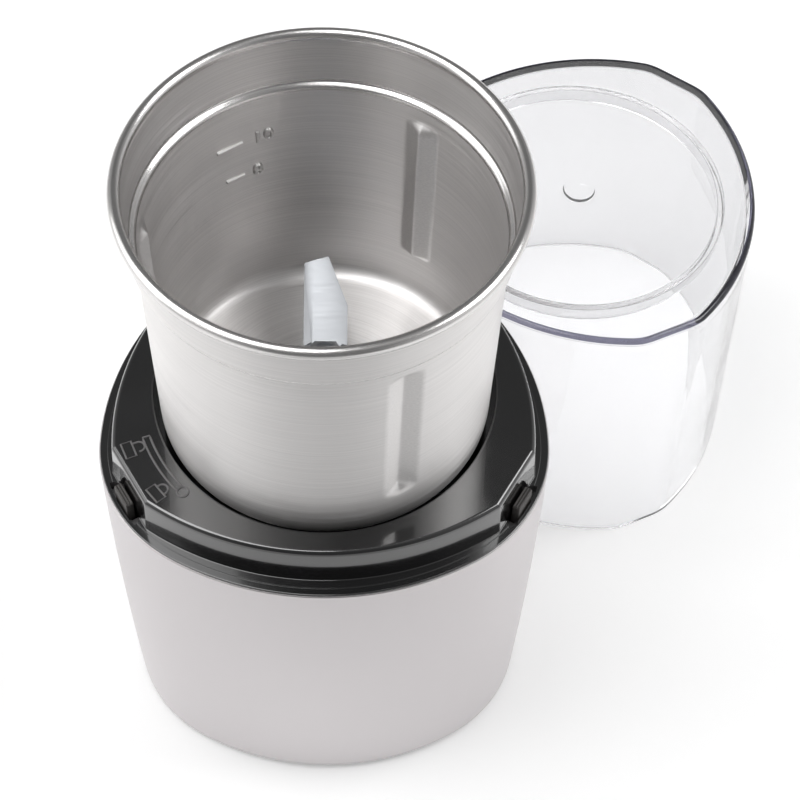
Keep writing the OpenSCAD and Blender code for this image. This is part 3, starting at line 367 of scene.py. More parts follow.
def turned(obj: Object, degrees: float = 0.0, move: Sequence[float] = (0, 0, 0), axis: str = "Z") -> Object:
    """Turn an object's mesh about an axis, then move it; the object stays at the origin.

    Args:
        obj: The object.
        degrees: Turn about the axis.
        move: Shift after the turn.
        axis: X, Y or Z.

    Returns:
        The same object.
    """
    turn = Matrix.Rotation(math.radians(degrees), 4, axis)
    obj.data.transform(Matrix.Translation(Vector(move)) @ turn)
    return obj


def cad_copy(node: str) -> Object:
    """Copy a CAD node's mesh with its loose triangles joined and its curves smooth.

    Args:
        node: The CAD node.

    Returns:
        The new object, named after the node.
    """
    name = node + "_piece"
    data = bpy.data.meshes.new(name)
    gather(data, [frame["nodes"][node].data], merge=0.000002)
    data.materials.clear()
    obj = place_object(name, data)
    soften(obj, 28)
    return obj


def face_centres(mesh: Mesh) -> Points:
    """Middle of each face, one row each."""
    centre = np.empty(len(mesh.polygons) * 3)
    mesh.polygons.foreach_get("center", centre)
    return centre.reshape(-1, 3)


def mark_faces(mesh: Mesh, name: str, share: Sequence[float]) -> None:
    """Keep a number on each face, which its material reads."""
    mesh.attributes.new(name, "FLOAT", "FACE").data.foreach_set("value", share)


def dress(obj: Object, material: Material, body: str, slot: str, *nodes: str) -> Object:
    """Give a finished piece its material where it has none, attach it to its body and hide the CAD nodes that
    it replaces.

    Args:
        obj: The piece.
        material: Its material, used where it has none.
        body: The body that it moves with.
        slot: The record's material slot; not used.
        nodes: CAD nodes that it replaces.

    Returns:
        The same piece.
    """
    if not obj.data.materials:
        obj.data.materials.append(material)
    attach(obj, body)
    if nodes:
        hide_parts(*nodes)
    log.info("%s: %d faces", obj.name, len(obj.data.polygons))
    return obj


# Materials


def add_node(tree: NodeTree, kind: str, links: dict | None = None, **settings: object) -> Node:
    """Add a node with its settings, values and links.

    Args:
        tree: The node tree.
        kind: The node's type name.
        links: Input name or number to a value, a socket, or a node whose first output is meant.
        settings: Attributes of the node.

    Returns:
        The node.
    """
    node = tree.nodes.new(kind)
    for key, value in settings.items():
        setattr(node, key, value)
    for key, value in (links or {}).items():
        if isinstance(value, Node):
            value = value.outputs[0]
        if isinstance(value, NodeSocket):
            tree.links.new(value, node.inputs[key])
        else:
            node.inputs[key].default_value = value
    return node


class Grain(Enum):
    """Which way a metal's or plastic's fine marks run."""

    ROUND = "round the axis"
    ALONG_Z = "up and down"
    ALONG_X = "along X"
    NONE = "even"


def start_material(name: str) -> tuple[Material, NodeTree, Node]:
    """Start a node material.

    Args:
        name: The material's name.

    Returns:
        The material, its tree and its output node.
    """
    material = bpy.data.materials.new(name)
    material.use_nodes = True
    tree = material.node_tree
    tree.nodes.clear()
    return material, tree, tree.nodes.new("ShaderNodeOutputMaterial")


def grain_vector(tree: NodeTree, grain: Grain, fine: float, long: float) -> NodeSocket:
    """Coordinates in which a noise is drawn out along the grain.

    Args:
        tree: The node tree.
        grain: Direction of the marks.
        fine: Width of a mark, in metres.
        long: Length of a mark, in metres.

    Returns:
        The vector output.
    """
    place = add_node(tree, "ShaderNodeTexCoord").outputs["Object"]
    if grain is Grain.ROUND:
        # a mark has its full length at this distance from the axis
        wall = 0.045
        parts = add_node(tree, "ShaderNodeSeparateXYZ", {0: place})
        flat = add_node(tree, "ShaderNodeVectorMath", {0: place, 1: (1, 1, 0)}, operation="MULTIPLY")
        radius = add_node(tree, "ShaderNodeVectorMath", {0: flat}, operation="LENGTH")
        sides = {0: parts.outputs["Y"], 1: parts.outputs["X"]}
        away = add_node(tree, "ShaderNodeMath", sides, operation="ARCTAN2")
        arc, rise, out = (
            add_node(tree, "ShaderNodeMath", {0: socket, 1: scale}, operation="MULTIPLY").outputs[0]
            for socket, scale in ((away, wall / long), (parts.outputs["Z"], 1 / fine),
                                  (radius.outputs["Value"], 1 / fine))
        )
        return add_node(tree, "ShaderNodeCombineXYZ", {0: arc, 1: rise, 2: out}).outputs[0]
    scale = {
        Grain.ALONG_Z: (1 / fine, 1 / fine, 1 / long),
        Grain.ALONG_X: (1 / long, 1 / fine, 1 / fine),
        Grain.NONE: (1 / fine,) * 3,
    }[grain]
    return add_node(tree, "ShaderNodeVectorMath", {0: place, 1: scale}, operation="MULTIPLY").outputs[0]


@dataclass(frozen=True)
class Metal:
    """A metal surface with fine drawn-out marks.

    Attributes:
        name: Material's common name and finish.
        colour: sRGB hex of the metal.
        rough: Middle roughness.
        spread: How far the roughness varies.
        grain: Direction of the marks.
        fine: Width of a mark, in metres.
        long: Length of a mark, in metres.
        relief: Height of the marks, in metres.
        uneven: Share by which the colour varies.
        stretch: Anisotropy of the highlight.
        polished: Name of the face attribute that marks polished faces.
        mirror: Roughness of the polished faces.
    """

    name: str
    colour: str
    rough: float = 0.3
    spread: float = 0.1
    grain: Grain = Grain.NONE
    fine: float = 0.00025
    long: float = 0.02
    relief: float = 0.000004
    uneven: float = 0.06
    stretch: float = 0.0
    polished: str = ""
    mirror: float = 0.2

    def build(self) -> Material:
        """Make the material."""
        material, tree, out = start_material(self.name)
        where = grain_vector(tree, self.grain, self.fine, self.long)
        marks = add_node(
            tree, "ShaderNodeTexNoise", {"Vector": where, "Scale": 1.0, "Detail": 3.0, "Roughness": 0.6}
        ).outputs[0]
        low, high = self.rough - self.spread / 2, self.rough + self.spread / 2
        rough = add_node(tree, "ShaderNodeMapRange", {0: marks, 1: NOISE_LOW, 2: NOISE_HIGH, 3: low, 4: high})
        base = linear(self.colour)
        dark, light = shaded(base, 1 - self.uneven), shaded(base, 1 + self.uneven)
        tone = add_node(tree, "ShaderNodeMix", {0: marks, 6: dark, 7: light}, data_type="RGBA")
        bump = add_node(tree, "ShaderNodeBump", {"Strength": 1.0, "Distance": self.relief, "Height": marks})
        skin = add_node(
            tree, "ShaderNodeBsdfPrincipled",
            {"Base Color": tone.outputs[2], "Metallic": 1.0, "Roughness": rough,
             "Normal": bump},
        )
        if self.polished:
            share = add_node(tree, "ShaderNodeAttribute", attribute_name=self.polished).outputs["Fac"]
            smooth = add_node(tree, "ShaderNodeMix", {0: share, 2: rough, 3: self.mirror}, data_type="FLOAT")
            tree.links.new(smooth.outputs[0], skin.inputs["Roughness"])
        if self.stretch:
            # the highlight spreads across the marks, which run round the axis
            around = add_node(tree, "ShaderNodeTangent", direction_type="RADIAL", axis="Z")
            skin.inputs["Anisotropic"].default_value = self.stretch
            skin.inputs["Anisotropic Rotation"].default_value = 0.25
            tree.links.new(around.outputs[0], skin.inputs["Tangent"])
        tree.links.new(skin.outputs[0], out.inputs[0])
        return material


@dataclass(frozen=True)
class Plastic:
    """A moulded plastic or rubber surface.

    Attributes:
        name: Material's common name and finish.
        colour: sRGB hex.
        rough: Middle roughness.
        spread: How far the roughness varies.
        texture: Size of the mould's texture, in metres.
        relief: Height of the texture, in metres.
        ior: Index of refraction.
        coat: Weight of a clear polished skin.
        dull_and_sheen: Name of the face attribute that marks blasted faces, which are matt and take painted
            light.
        painted_sheen_colour: sRGB hex of those faces, a grey lighter than the moulding: painted sheen on the
            signs and painted light against the pockets' shade.
        dull_rough: Roughness of the blasted faces.
        patch: Size of the broad patches in colour and roughness, in metres.
    """

    name: str
    colour: str
    rough: float = 0.45
    spread: float = 0.08
    texture: float = 0.0004
    relief: float = 0.000012
    ior: float = 1.5
    coat: float = 0.0
    dull_and_sheen: str = ""
    # a grey lighter than the black moulding: painted sheen on the signs and painted light against the shade in
    # the pockets
    painted_sheen_colour: str = "#5a5859"
    dull_rough: float = 0.5
    patch: float = 0.012

    def build(self) -> Material:
        """Make the material."""
        material, tree, out = start_material(self.name)
        fine, broad = (
            add_node(
                tree, "ShaderNodeTexNoise",
                {"Vector": grain_vector(tree, Grain.NONE, size, size), "Scale": 1.0, "Detail": detail},
            ).outputs[0]
            for size, detail in ((self.texture, 4.0), (self.patch, 2.0))
        )
        low, high = max(0.02, self.rough - self.spread / 2), self.rough + self.spread / 2
        rough = add_node(tree, "ShaderNodeMapRange", {0: broad, 1: NOISE_LOW, 2: NOISE_HIGH, 3: low, 4: high})
        base = linear(self.colour)
        tone = add_node(tree, "ShaderNodeMix", {0: broad, 6: shaded(base, 0.92), 7: base}, data_type="RGBA")
        bump = add_node(tree, "ShaderNodeBump", {"Strength": 1.0, "Distance": self.relief, "Height": fine})
        skin = add_node(
            tree, "ShaderNodeBsdfPrincipled",
            {"Base Color": tone.outputs[2], "Roughness": rough, "IOR": self.ior,
             "Normal": bump, "Coat Weight": self.coat, "Coat Roughness": 0.03},
        )
        if self.dull_and_sheen:
            share = add_node(tree, "ShaderNodeAttribute", attribute_name=self.dull_and_sheen).outputs["Fac"]
            # marked faces are matt and lose the coat, and their lighter grey is painted light: sheen on the
            # signs, lifted shade in the pockets
            grey = add_node(
                tree, "ShaderNodeMix", {0: share, 6: tone.outputs[2], 7: linear(self.painted_sheen_colour)},
                data_type="RGBA",
            )
            blasted = add_node(
                tree, "ShaderNodeMix", {0: share, 2: rough, 3: self.dull_rough}, data_type="FLOAT"
            )
            gloss = add_node(tree, "ShaderNodeMapRange", {0: share, 3: self.coat, 4: 0.0})
            for link, socket in ((grey.outputs[2], "Base Color"), (blasted.outputs[0], "Roughness"),
                                 (gloss.outputs[0], "Coat Weight")):
                tree.links.new(link, skin.inputs[socket])
        tree.links.new(skin.outputs[0], out.inputs[0])
        return material


@dataclass(frozen=True)
class ClearPlastic:
    """Clear moulded styrene-acrylonitrile: glassy, with a breath of blue-grey, and a painted dark blue-grey
    shade on its rounded top edge.

    Attributes:
        name: Material's common name and finish.
        colour: sRGB hex that each pass through the surface takes.
        deep: The same for faces marked "rim": painted shade that stands in for the dark the rounded edge shows
            by refraction.
        rough: Roughness of the polished mould.
        ior: Index of refraction.
        through: Share of the light that goes through it.
        ripple: Size of the mould's faint ripples, in metres.
        relief: Height of the ripples, in metres.
        shade: Linear colour of the light that a lamp sends through it.
    """

    name: str = "styrene acrylonitrile, polished mould"
    colour: str = "#f3f3f4"
    deep: str = "#3c3b4e"
    rough: float = 0.012
    ior: float = 1.57
    through: float = 0.95
    ripple: float = 0.03
    relief: float = 0.00006
    shade: tuple[float, float, float, float] = (0.69, 0.69, 0.695, 1.0)

    def build(self) -> Material:
        """Make the material."""
        material, tree, out = start_material(self.name)
        where = grain_vector(tree, Grain.NONE, self.ripple, self.ripple)
        broad = add_node(tree, "ShaderNodeTexNoise", {"Vector": where, "Scale": 1.0, "Detail": 1.0})
        bump = add_node(tree, "ShaderNodeBump", {"Strength": 1.0, "Distance": self.relief, "Height": broad})
        share = add_node(tree, "ShaderNodeAttribute", attribute_name="rim").outputs["Fac"]
        # faces marked "rim" take the dark blue-grey: painted shade on the lid's rounded top edge
        tint_and_edge_shade = add_node(
            tree, "ShaderNodeMix", {0: share, 6: linear(self.colour), 7: linear(self.deep)}, data_type="RGBA"
        )
        skin = add_node(
            tree, "ShaderNodeBsdfPrincipled",
            {"Base Color": tint_and_edge_shade.outputs[2], "Roughness": self.rough, "IOR": self.ior,
             "Transmission Weight": self.through, "Normal": bump},
        )
        # lamps shine through it, as they do through the real wall
        lamps = add_node(tree, "ShaderNodeLightPath").outputs["Is Shadow Ray"]
        clear = add_node(tree, "ShaderNodeBsdfTransparent", {"Color": self.shade})
        both = add_node(tree, "ShaderNodeMixShader", {0: lamps, 1: skin, 2: clear})
        tree.links.new(both.outputs[0], out.inputs[0])
        return material


@dataclass(frozen=True)
class Striped:
    """Wound wire or stacked sheet: fine lines with the metal's own sheen, a painted highlight on each crest
    and a darker tone between, partly the real joint and partly painted shade.

    Attributes:
        name: Material's common name and making.
        light: sRGB hex of a line's crest, lightened as a painted highlight.
        dark: sRGB hex between two lines: the joint, darkened further with painted shade.
        pitch: Distance from line to line, in metres.
        direction: Axis across the lines: X, Y or Z.
        rough: Roughness.
    """

    name: str
    light: str
    dark: str
    pitch: float
    direction: str = "Z"
    rough: float = 0.4

    def build(self) -> Material:
        """Make the material."""
        material, tree, out = start_material(self.name)
        place = add_node(tree, "ShaderNodeTexCoord").outputs["Object"]
        # at scale 1 the wave is 1 / 3.183 of a metre long
        lines = add_node(
            tree, "ShaderNodeTexWave",
            {"Vector": place, "Scale": 1 / self.pitch / 3.183, "Distortion": 0.0},
            wave_type="BANDS", bands_direction=self.direction,
        ).outputs[1]
        # lighter crests are a painted highlight, the darker lines between partly joint and partly painted
        # shade
        tone = add_node(
            tree, "ShaderNodeMix", {0: lines, 6: linear(self.dark), 7: linear(self.light)}, data_type="RGBA"
        )
        bump = add_node(
            tree, "ShaderNodeBump", {"Strength": 0.8, "Distance": self.pitch * 0.2, "Height": lines}
        )
        skin = add_node(
            tree, "ShaderNodeBsdfPrincipled",
            {"Base Color": tone.outputs[2], "Metallic": 1.0, "Roughness": self.rough,
             "Normal": bump},
        )
        tree.links.new(skin.outputs[0], out.inputs[0])
        return material


# Each slot of the record with its finish
FINISHES: dict[str, object] = {
    # lacquered stainless sheet, blasted even: a soft pale sheen with no mirror in it
    "sleeve_steel": Metal("stainless sheet, fine blasted and lacquered", "#d8d4d5", 0.4, 0.05, Grain.ALONG_Z,
                          0.0004, 0.012, 0.0000015, 0.015),
    # drawn stainless, spun with emery: rings of fine light round the axis
    "bowl_steel": Metal("stainless steel, spun satin", "#e3e1e0", 0.39, 0.16, Grain.ROUND,
                        0.0003, 0.05, 0.00004, 0.2, 0.8, "polished"),
    "blade_steel": Metal("tool steel, ground", "#95979a", 0.38, 0.12, Grain.ALONG_X, 0.00025, 0.006,
                         0.000003),
    "shaft_steel": Metal("steel, turned and polished", "#b9bcc0", 0.2, 0.1, Grain.ROUND, 0.0002, 0.01),
    "bearing_steel": Metal("bearing steel, ground", "#c4c7cb", 0.16, 0.06, Grain.ROUND, 0.0002, 0.01),
    "spring_steel": Metal("spring wire, drawn", "#a9adb2", 0.28, 0.1, Grain.NONE, 0.0003, 0.0003),
    "zinc_screw": Metal("steel, zinc plated", "#b3b5b8", 0.35, 0.15, Grain.NONE, 0.0006, 0.0006),
    # polished black ABS: deep gloss with a faint waviness from the mould; its marked pockets and signs are
    # matt, with a lighter grey that is painted light
    "deck_gloss": Plastic("ABS, polished mould, black", "#0e0e0f", 0.14, 0.06, 0.006, 0.000012, 1.8, 1.0,
                          "dull_and_sheen"),
    "lid_clear": ClearPlastic(),
    "chassis_black": Plastic("ABS, fine spark-eroded mould, black", "#2a2a2c", 0.55),
    "cover_black": Plastic("polypropylene, grained mould, black", "#242426", 0.55, 0.1, 0.0007, 0.00003),
    "ring_black": Plastic("acetal, spark-eroded mould, black", "#4a4745", 0.52, 0.1, 0.0006, 0.00002),
    "foot_black": Plastic("nylon, moulded, black", "#1f1f21", 0.38),
    "fan_grey": Plastic("nylon, moulded, dark grey", "#3b3c3f", 0.5),
    "hub_grey": Plastic("glass-filled nylon, moulded, grey", "#4b4d50", 0.5, 0.1, 0.0005, 0.00002),
    "rubber_black": Plastic("rubber, moulded, black", "#171718", 0.75, 0.1, 0.0006, 0.00002, 1.45),
    "gasket_grey": Plastic("silicone rubber, moulded, grey", "#8e9194", 0.6, 0.1, 0.0006, 0.00001, 1.42),
    "bracket_alu": Metal("aluminium, die cast and blasted", "#b4b7ba", 0.5, 0.12, Grain.NONE, 0.0007, 0.0007,
                         0.00002),
    "lamination": Striped("electrical steel, stamped and stacked", "#8d8f92", "#4c4d50", 0.0005, "Z", 0.45),
    "copper": Striped("enamelled copper wire, wound", "#c0662f", "#6b2d12", 0.0006, "Z", 0.3),
    "commutator_copper": Metal("copper, turned", "#c98255", 0.28, 0.1, Grain.ROUND, 0.0002, 0.01),
    "brass": Metal("brass, drawn", "#cfa657", 0.3, 0.1, Grain.ALONG_Z),
    "bronze": Metal("bronze, sintered", "#a9824c", 0.45, 0.1, Grain.NONE, 0.0005, 0.0005, 0.00001),
    "carbon": Plastic("graphite, pressed", "#2c2c2f", 0.5, 0.1, 0.0005, 0.00001, 1.7),
    "switch_brown": Plastic("phenolic, moulded, brown", "#3a2f2a", 0.45),
    "plunger_red": Plastic("acetal, moulded, red", "#c0432c", 0.35),
    "film_yellow": Plastic("epoxy, dipped, yellow", "#d3ac40", 0.2, 0.05, 0.002, 0.00002, 1.55),
    "block_cream": Plastic("polyamide, moulded, cream", "#dfdbd0", 0.5),
    "acetal_white": Plastic("acetal, moulded, white", "#dcdbd7", 0.35),
}


# Plans


def from_side(degrees: Points) -> Points:
    """Angle of each direction from the middle of its side, in radians."""
    return np.radians((degrees - SIDE_AZ[0] + 60) % 120 - 60)


def arc_reach(behind: float, radius: float, angle: Points) -> Points:
    """Distance from the centre to an arc about a point behind it, at angles from the arc's middle."""
    return -behind * np.cos(angle) + np.sqrt(radius * radius - (behind * np.sin(angle)) ** 2)


@dataclass(frozen=True)
class RoundedPlan:
    """Bowed triangle with rounded corners.

    Attributes:
        reach: Centre to the middle of a side.
        bow: Radius of each side.
        corner: Radius of each corner.
    """

    reach: float = 0.05475
    bow: float = 0.0738
    corner: float = 0.040

    @property
    def behind(self) -> float:
        """Centre to the point behind it about which a side bows."""
        return self.bow - self.reach

    @property
    def ahead(self) -> float:
        """Centre to the point about which a corner turns."""
        e = self.behind
        return (math.sqrt(4 * (self.bow - self.corner) ** 2 - 3 * e * e) - e) / 2

    def radius(self, degrees: Points, offset: float) -> Points:
        """Distance from the centre to the outline, grown by an offset.

        Args:
            degrees: Directions.
            offset: Growth of the outline.

        Returns:
            A radius for each direction.
        """
        e, g = self.behind, self.ahead
        half = math.atan2(g * math.sin(math.radians(60)), g * math.cos(math.radians(60)) + e)
        r = self.bow + offset
        meet = math.atan2(r * math.sin(half), r * math.cos(half) - e)
        a = from_side(degrees)
        corner = arc_reach(-g, self.corner + offset, math.radians(60) - np.abs(a))
        return np.where(np.abs(a) <= meet, arc_reach(e, r, a), corner)


@dataclass(frozen=True)
class CutPlan:
    """Bowed triangle with flat corners.

    Attributes:
        reach: Centre to the middle of a side.
        bow: Radius of each side.
        corner: Centre to each flat corner.
        soft: Rounding where a side meets a flat corner.
    """

    reach: float
    bow: float
    corner: float
    soft: float = 0.0

    def vertex(self, side: float, corner: float) -> float:
        """Angle from a side's middle to the edge of its flat corner, in degrees.

        Args:
            side: Growth of the sides.
            corner: Growth of the corners.

        Returns:
            The angle about the centre.
        """
        e, r = self.bow - self.reach, self.bow + side
        half = math.radians(60) - math.acos((self.corner + corner + e / 2) / r)
        return math.degrees(math.atan2(r * math.sin(half), r * math.cos(half) - e))

    def ring(self, side: float, corner: float, z: float, count: tuple[int, int]) -> Points:
        """One ring of the outline.

        Args:
            side: Growth of the sides.
            corner: Growth of the corners.
            z: Height.
            count: Parts along each side and along each flat corner.

        Returns:
            The ring's points.
        """
        a = plan_angles(self.vertex(side, corner), count)
        off = from_side(a)
        bowed = arc_reach(self.bow - self.reach, self.bow + side, off)
        flat = (self.corner + corner) / np.cos(math.radians(60) - np.abs(off))
        lower = np.minimum(bowed, flat)
        if self.soft:
            near = np.maximum(0, self.soft - np.abs(bowed - flat))
            lower = lower - near**2 / (4 * self.soft)
        return polar(lower, a, z)


def plan_angles(vertex: float, count: tuple[int, int]) -> Points:
    """Directions round a plan, with one at every edge of a flat corner.

    Args:
        vertex: Angle from a side's middle to the corner's edge.
        count: Parts along each side and along each corner.

    Returns:
        Directions in degrees, counter-clockwise.
    """
    shares = [np.cos(np.pi * np.arange(n) / n) for n in count]
    rows = []
    for az in SIDE_AZ:
        rows += [az - vertex * shares[0], az + 60 - (60 - vertex) * shares[1]]
    return np.concatenate(rows)


# Pieces that repeat, made by node trees


def start_tree(name: str, sizes: dict[str, str]) -> tuple[NodeTree, bpy.types.NodeOutputs]:
    """Start a node tree that takes a piece, sizes and a finish.

    Args:
        name: The tree's name.
        sizes: Each size's name with its kind, Int or Float.

    Returns:
        The tree and the sockets of its inputs.
    """
    tree = bpy.data.node_groups.new(name, "GeometryNodeTree")
    for label, kind in {"Geometry": "Geometry", **sizes, "Finish": "Material"}.items():
        tree.interface.new_socket(label, in_out="INPUT", socket_type="NodeSocket" + kind)
    tree.interface.new_socket("Geometry", in_out="OUTPUT", socket_type="NodeSocketGeometry")
    return tree, tree.nodes.new("NodeGroupInput").outputs


def end_tree(tree: NodeTree, made: NodeSocket, finish: NodeSocket) -> NodeTree:
    """End a node tree in real geometry with its finish.

    Args:
        tree: The tree.
        made: The socket with the geometry.
        finish: The input with the material.

    Returns:
        The same tree.
    """
    whole = add_node(tree, "GeometryNodeRealizeInstances", {"Geometry": made})
    painted = add_node(tree, "GeometryNodeSetMaterial", {"Geometry": whole, "Material": finish})
    add_node(tree, "NodeGroupOutput", {0: painted})
    return tree


def run_tree(obj: Object, tree: NodeTree, values: dict[str, object]) -> None:
    """Run a node tree on an object and leave a plain mesh.

    Args:
        obj: The object.
        tree: The tree.
        values: Each input's name with its value.
    """
    change = obj.modifiers.new("tree", "NODES")
    change.node_group = tree
    for item in tree.interface.items_tree:
        if item.in_out == "INPUT" and item.name in values:
            change[item.identifier] = values[item.name]
    obj.update_tag()
    final_mesh(obj)


def tree_around(name: str) -> NodeTree:
    """Node tree that sets a piece out in equal steps about the Z axis.

    Args:
        name: The tree's name.

    Returns:
        The tree, with inputs Geometry, Count, First angle, Reach and Finish.
    """
    tree, inp = start_tree(name, {"Count": "Int", "First angle": "Float", "Reach": "Float"})
    dots = add_node(tree, "GeometryNodePoints", {"Count": inp["Count"], "Position": (0, 0, 0)})
    number = add_node(tree, "GeometryNodeInputIndex")
    share = add_node(tree, "ShaderNodeMath", {0: number, 1: inp["Count"]}, operation="DIVIDE")
    angle = add_node(
        tree, "ShaderNodeMath", {0: share, 1: 2 * math.pi, 2: inp["First angle"]},
        operation="MULTIPLY_ADD",
    )
    turn = add_node(tree, "ShaderNodeCombineXYZ", {2: angle}).outputs[0]
    arm = add_node(tree, "ShaderNodeCombineXYZ", {0: inp["Reach"]})
    place = add_node(
        tree, "ShaderNodeVectorRotate", {"Vector": arm, "Rotation": turn}, rotation_type="EULER_XYZ"
    )
    moved = add_node(tree, "GeometryNodeSetPosition", {"Geometry": dots, "Position": place})
    copies = add_node(
        tree, "GeometryNodeInstanceOnPoints",
        {"Points": moved, "Instance": inp["Geometry"], "Rotation": turn},
    )
    return end_tree(tree, copies.outputs[0], inp["Finish"])


def set_out(obj: Object, material: Material, count: int, first: float, reach: float) -> Object:
    """Repeat a piece about the Z axis and leave a plain mesh.

    Args:
        obj: The piece, modelled at the axis and pointing along +X.
        material: Its material.
        count: Number of copies.
        first: Direction of the first copy, in degrees.
        reach: Axis to each copy.

    Returns:
        The same object, now with every copy.
    """
    tree = bpy.data.node_groups.get("around the axis") or tree_around("around the axis")
    values = {"Count": count, "First angle": math.radians(first), "Reach": reach, "Finish": material}
    run_tree(obj, tree, values)
    return obj


def tree_wire(name: str) -> NodeTree:
    """Node tree that winds a coil spring.

    Args:
        name: The tree's name.

    Returns:
        The tree, with inputs Geometry, Turns, Radius, Height, Wire and Finish.
    """
    tree, inp = start_tree(name, dict.fromkeys(("Turns", "Radius", "Height", "Wire"), "Float"))
    line = add_node(
        tree, "GeometryNodeCurveSpiral",
        {"Resolution": 28, "Rotations": inp["Turns"], "Start Radius": inp["Radius"],
         "End Radius": inp["Radius"], "Height": inp["Height"]},
    )
    ring = add_node(tree, "GeometryNodeCurvePrimitiveCircle", {"Resolution": 10, "Radius": inp["Wire"]})
    tube = add_node(tree, "GeometryNodeCurveToMesh", {"Curve": line, "Profile Curve": ring, "Fill Caps": True})
    return end_tree(tree, tube.outputs[0], inp["Finish"])


def coil(name: str, material: Material, turns: float, radius: float, height: float, wire: float) -> Object:
    """Wind a coil spring that stands on the origin along +Z.

    Args:
        name: Name of the piece.
        material: Its material.
        turns: Number of turns.
        radius: Radius at the middle of the wire.
        height: Height from end to end.
        wire: Diameter of the wire.

    Returns:
        The object.
    """
    obj = make_object(name, np.zeros((3, 3)), [(0, 1, 2)])
    tree = bpy.data.node_groups.get("coil spring") or tree_wire("coil spring")
    sizes = {"Turns": turns, "Radius": radius, "Height": height - wire, "Wire": wire / 2}
    run_tree(obj, tree, {**sizes, "Finish": material})
    turned(obj, move=(0, 0, wire / 2))
    soften(obj, 40)
    return obj


# Sub-assemblies


@dataclass
class Housing:
    """Steel sleeve round the base, with a curled foot, a thin top edge and the gland's hole."""

    plan: RoundedPlan
    material: Material
    z_low: float = 0.0016
    z_rim: float = 0.1054
    taper: float = 0.0023
    wall: float = 0.0007
    curl: float = 0.0012
    brim: float = 0.0002
    gland_z: float = 0.0146
    gland_r: float = 0.00555
    side_half: float = 50.5
    count: tuple[int, int] = (72, 24)

    def drawn_in(self, z: float) -> float:
        """Offset of the outline at a height."""
        return -self.taper * ((self.z_rim - z) / (self.z_rim - self.z_low)) ** 2

    def build(self) -> None:
        """Make the sleeve."""
        foot, straight = self.drawn_in(self.z_low), self.z_low + self.curl
        outer = [(foot - self.curl * (1 - math.sin(a)), self.z_low + self.curl * (1 - math.cos(a)))
                 for a in np.radians(np.arange(0, 90, 11.25))]
        outer += [(self.drawn_in(z), z) for z in np.linspace(straight, self.z_rim - self.brim, 48)]
        outer += [(-self.brim, self.z_rim)]
        inner = [(self.drawn_in(z) - self.wall, z) for z in np.linspace(self.z_rim, straight, 12)]
        inner += [(foot - self.curl, self.z_low + self.wall)]
        angles = plan_angles(self.side_half, self.count)
        rings = np.array([polar(self.plan.radius(angles, o), angles, z) for o, z in outer + inner])
        sleeve = loft("sleeve", rings, 32)
        core, deep = 0.00001, 0.03
        section = [(core, 0), (self.gland_r, 0), (self.gland_r, deep), (core, deep)]
        hole = revolve("hole", np.array(section), 48)
        cut(sleeve, [turned(hole, -90, (0, 0.045, self.gland_z), "X")])
        soften(sleeve, 32)
        dress(sleeve, self.material, "base", "sleeve_steel", "outer_sleeve")


@dataclass(frozen=True)
class Lug:
    """Sizes of a corner lug whose outer face is so far out, and the gap round it in the deck."""

    out: float = 0.05807
    width: float = 0.0021
    length: float = 0.007
    gap: float = 0.0003


@dataclass(frozen=True)
class Signs:
    """Raised signs on the deck: the bowl's track, and an open and a shut padlock.

    Attributes:
        track_gap: Degrees between the track and the ring at its end.
        bow_r: Radius of that ring and of a padlock's bow.
        body: Half width, foot and top of a padlock's body.
        lift: How far the open bow is raised.
    """

    track_r: float = 0.047
    track_half: float = 0.0009
    track_start: float = 200.4
    track_end: float = 223.5
    track_gap: float = 1.6
    bow_r: float = 0.0014
    lock_r: float = 0.0513
    open_az: float = 203.0
    shut_az: float = 219.0
    body: tuple[float, float, float] = (0.0023, -0.0022, 0.0004)
    lift: float = 0.0008

    def build(self, z: float) -> list[Object]:
        """Make the signs' ridges.

        Args:
            z: Height of the surface that they stand on.

        Returns:
            The ridges.
        """
        arc = np.linspace(self.track_start, self.track_end - self.track_gap, 24)
        track = np.vstack([polar(self.track_r + self.track_half, arc, 0),
                           polar(self.track_r - self.track_half, arc[::-1], 0)])
        middle = polar(self.track_r, np.array([self.track_end]), 0)
        ring = middle + polar(self.bow_r, np.linspace(0, 360, 24, endpoint=False), 0)
        lines = [raised_line(track[:, :2], z), raised_line(ring[:, :2], z)]
        half, foot, top = self.body
        body = [(-half, foot), (half, foot), (half, top), (-half, top)]
        for az, lift, free in ((self.open_az, self.lift, 0.0006 + self.lift), (self.shut_az, 0.0, top)):
            bow = [(self.bow_r * math.cos(a), 0.001 + lift + self.bow_r * math.sin(a))
                   for a in np.linspace(0, math.pi, 12)]
            legs = [(self.bow_r, free), *bow, (-self.bow_r, top)]
            turn = math.radians(az - SIDE_AZ[0])
            for shape, closed in ((body, True), (legs, False)):
                placed = [(x * math.cos(turn) - (y - self.lock_r) * math.sin(turn),
                           x * math.sin(turn) + (y - self.lock_r) * math.cos(turn)) for x, y in shape]
                lines.append(raised_line(placed, z, closed))
        return lines


class Course(Enum):
    """Line that a row of the deck's section follows round the axis."""

    CIRCLE = "circle"
    PLATFORM = "raised platform"
    OUTLINE = "outline of the base"


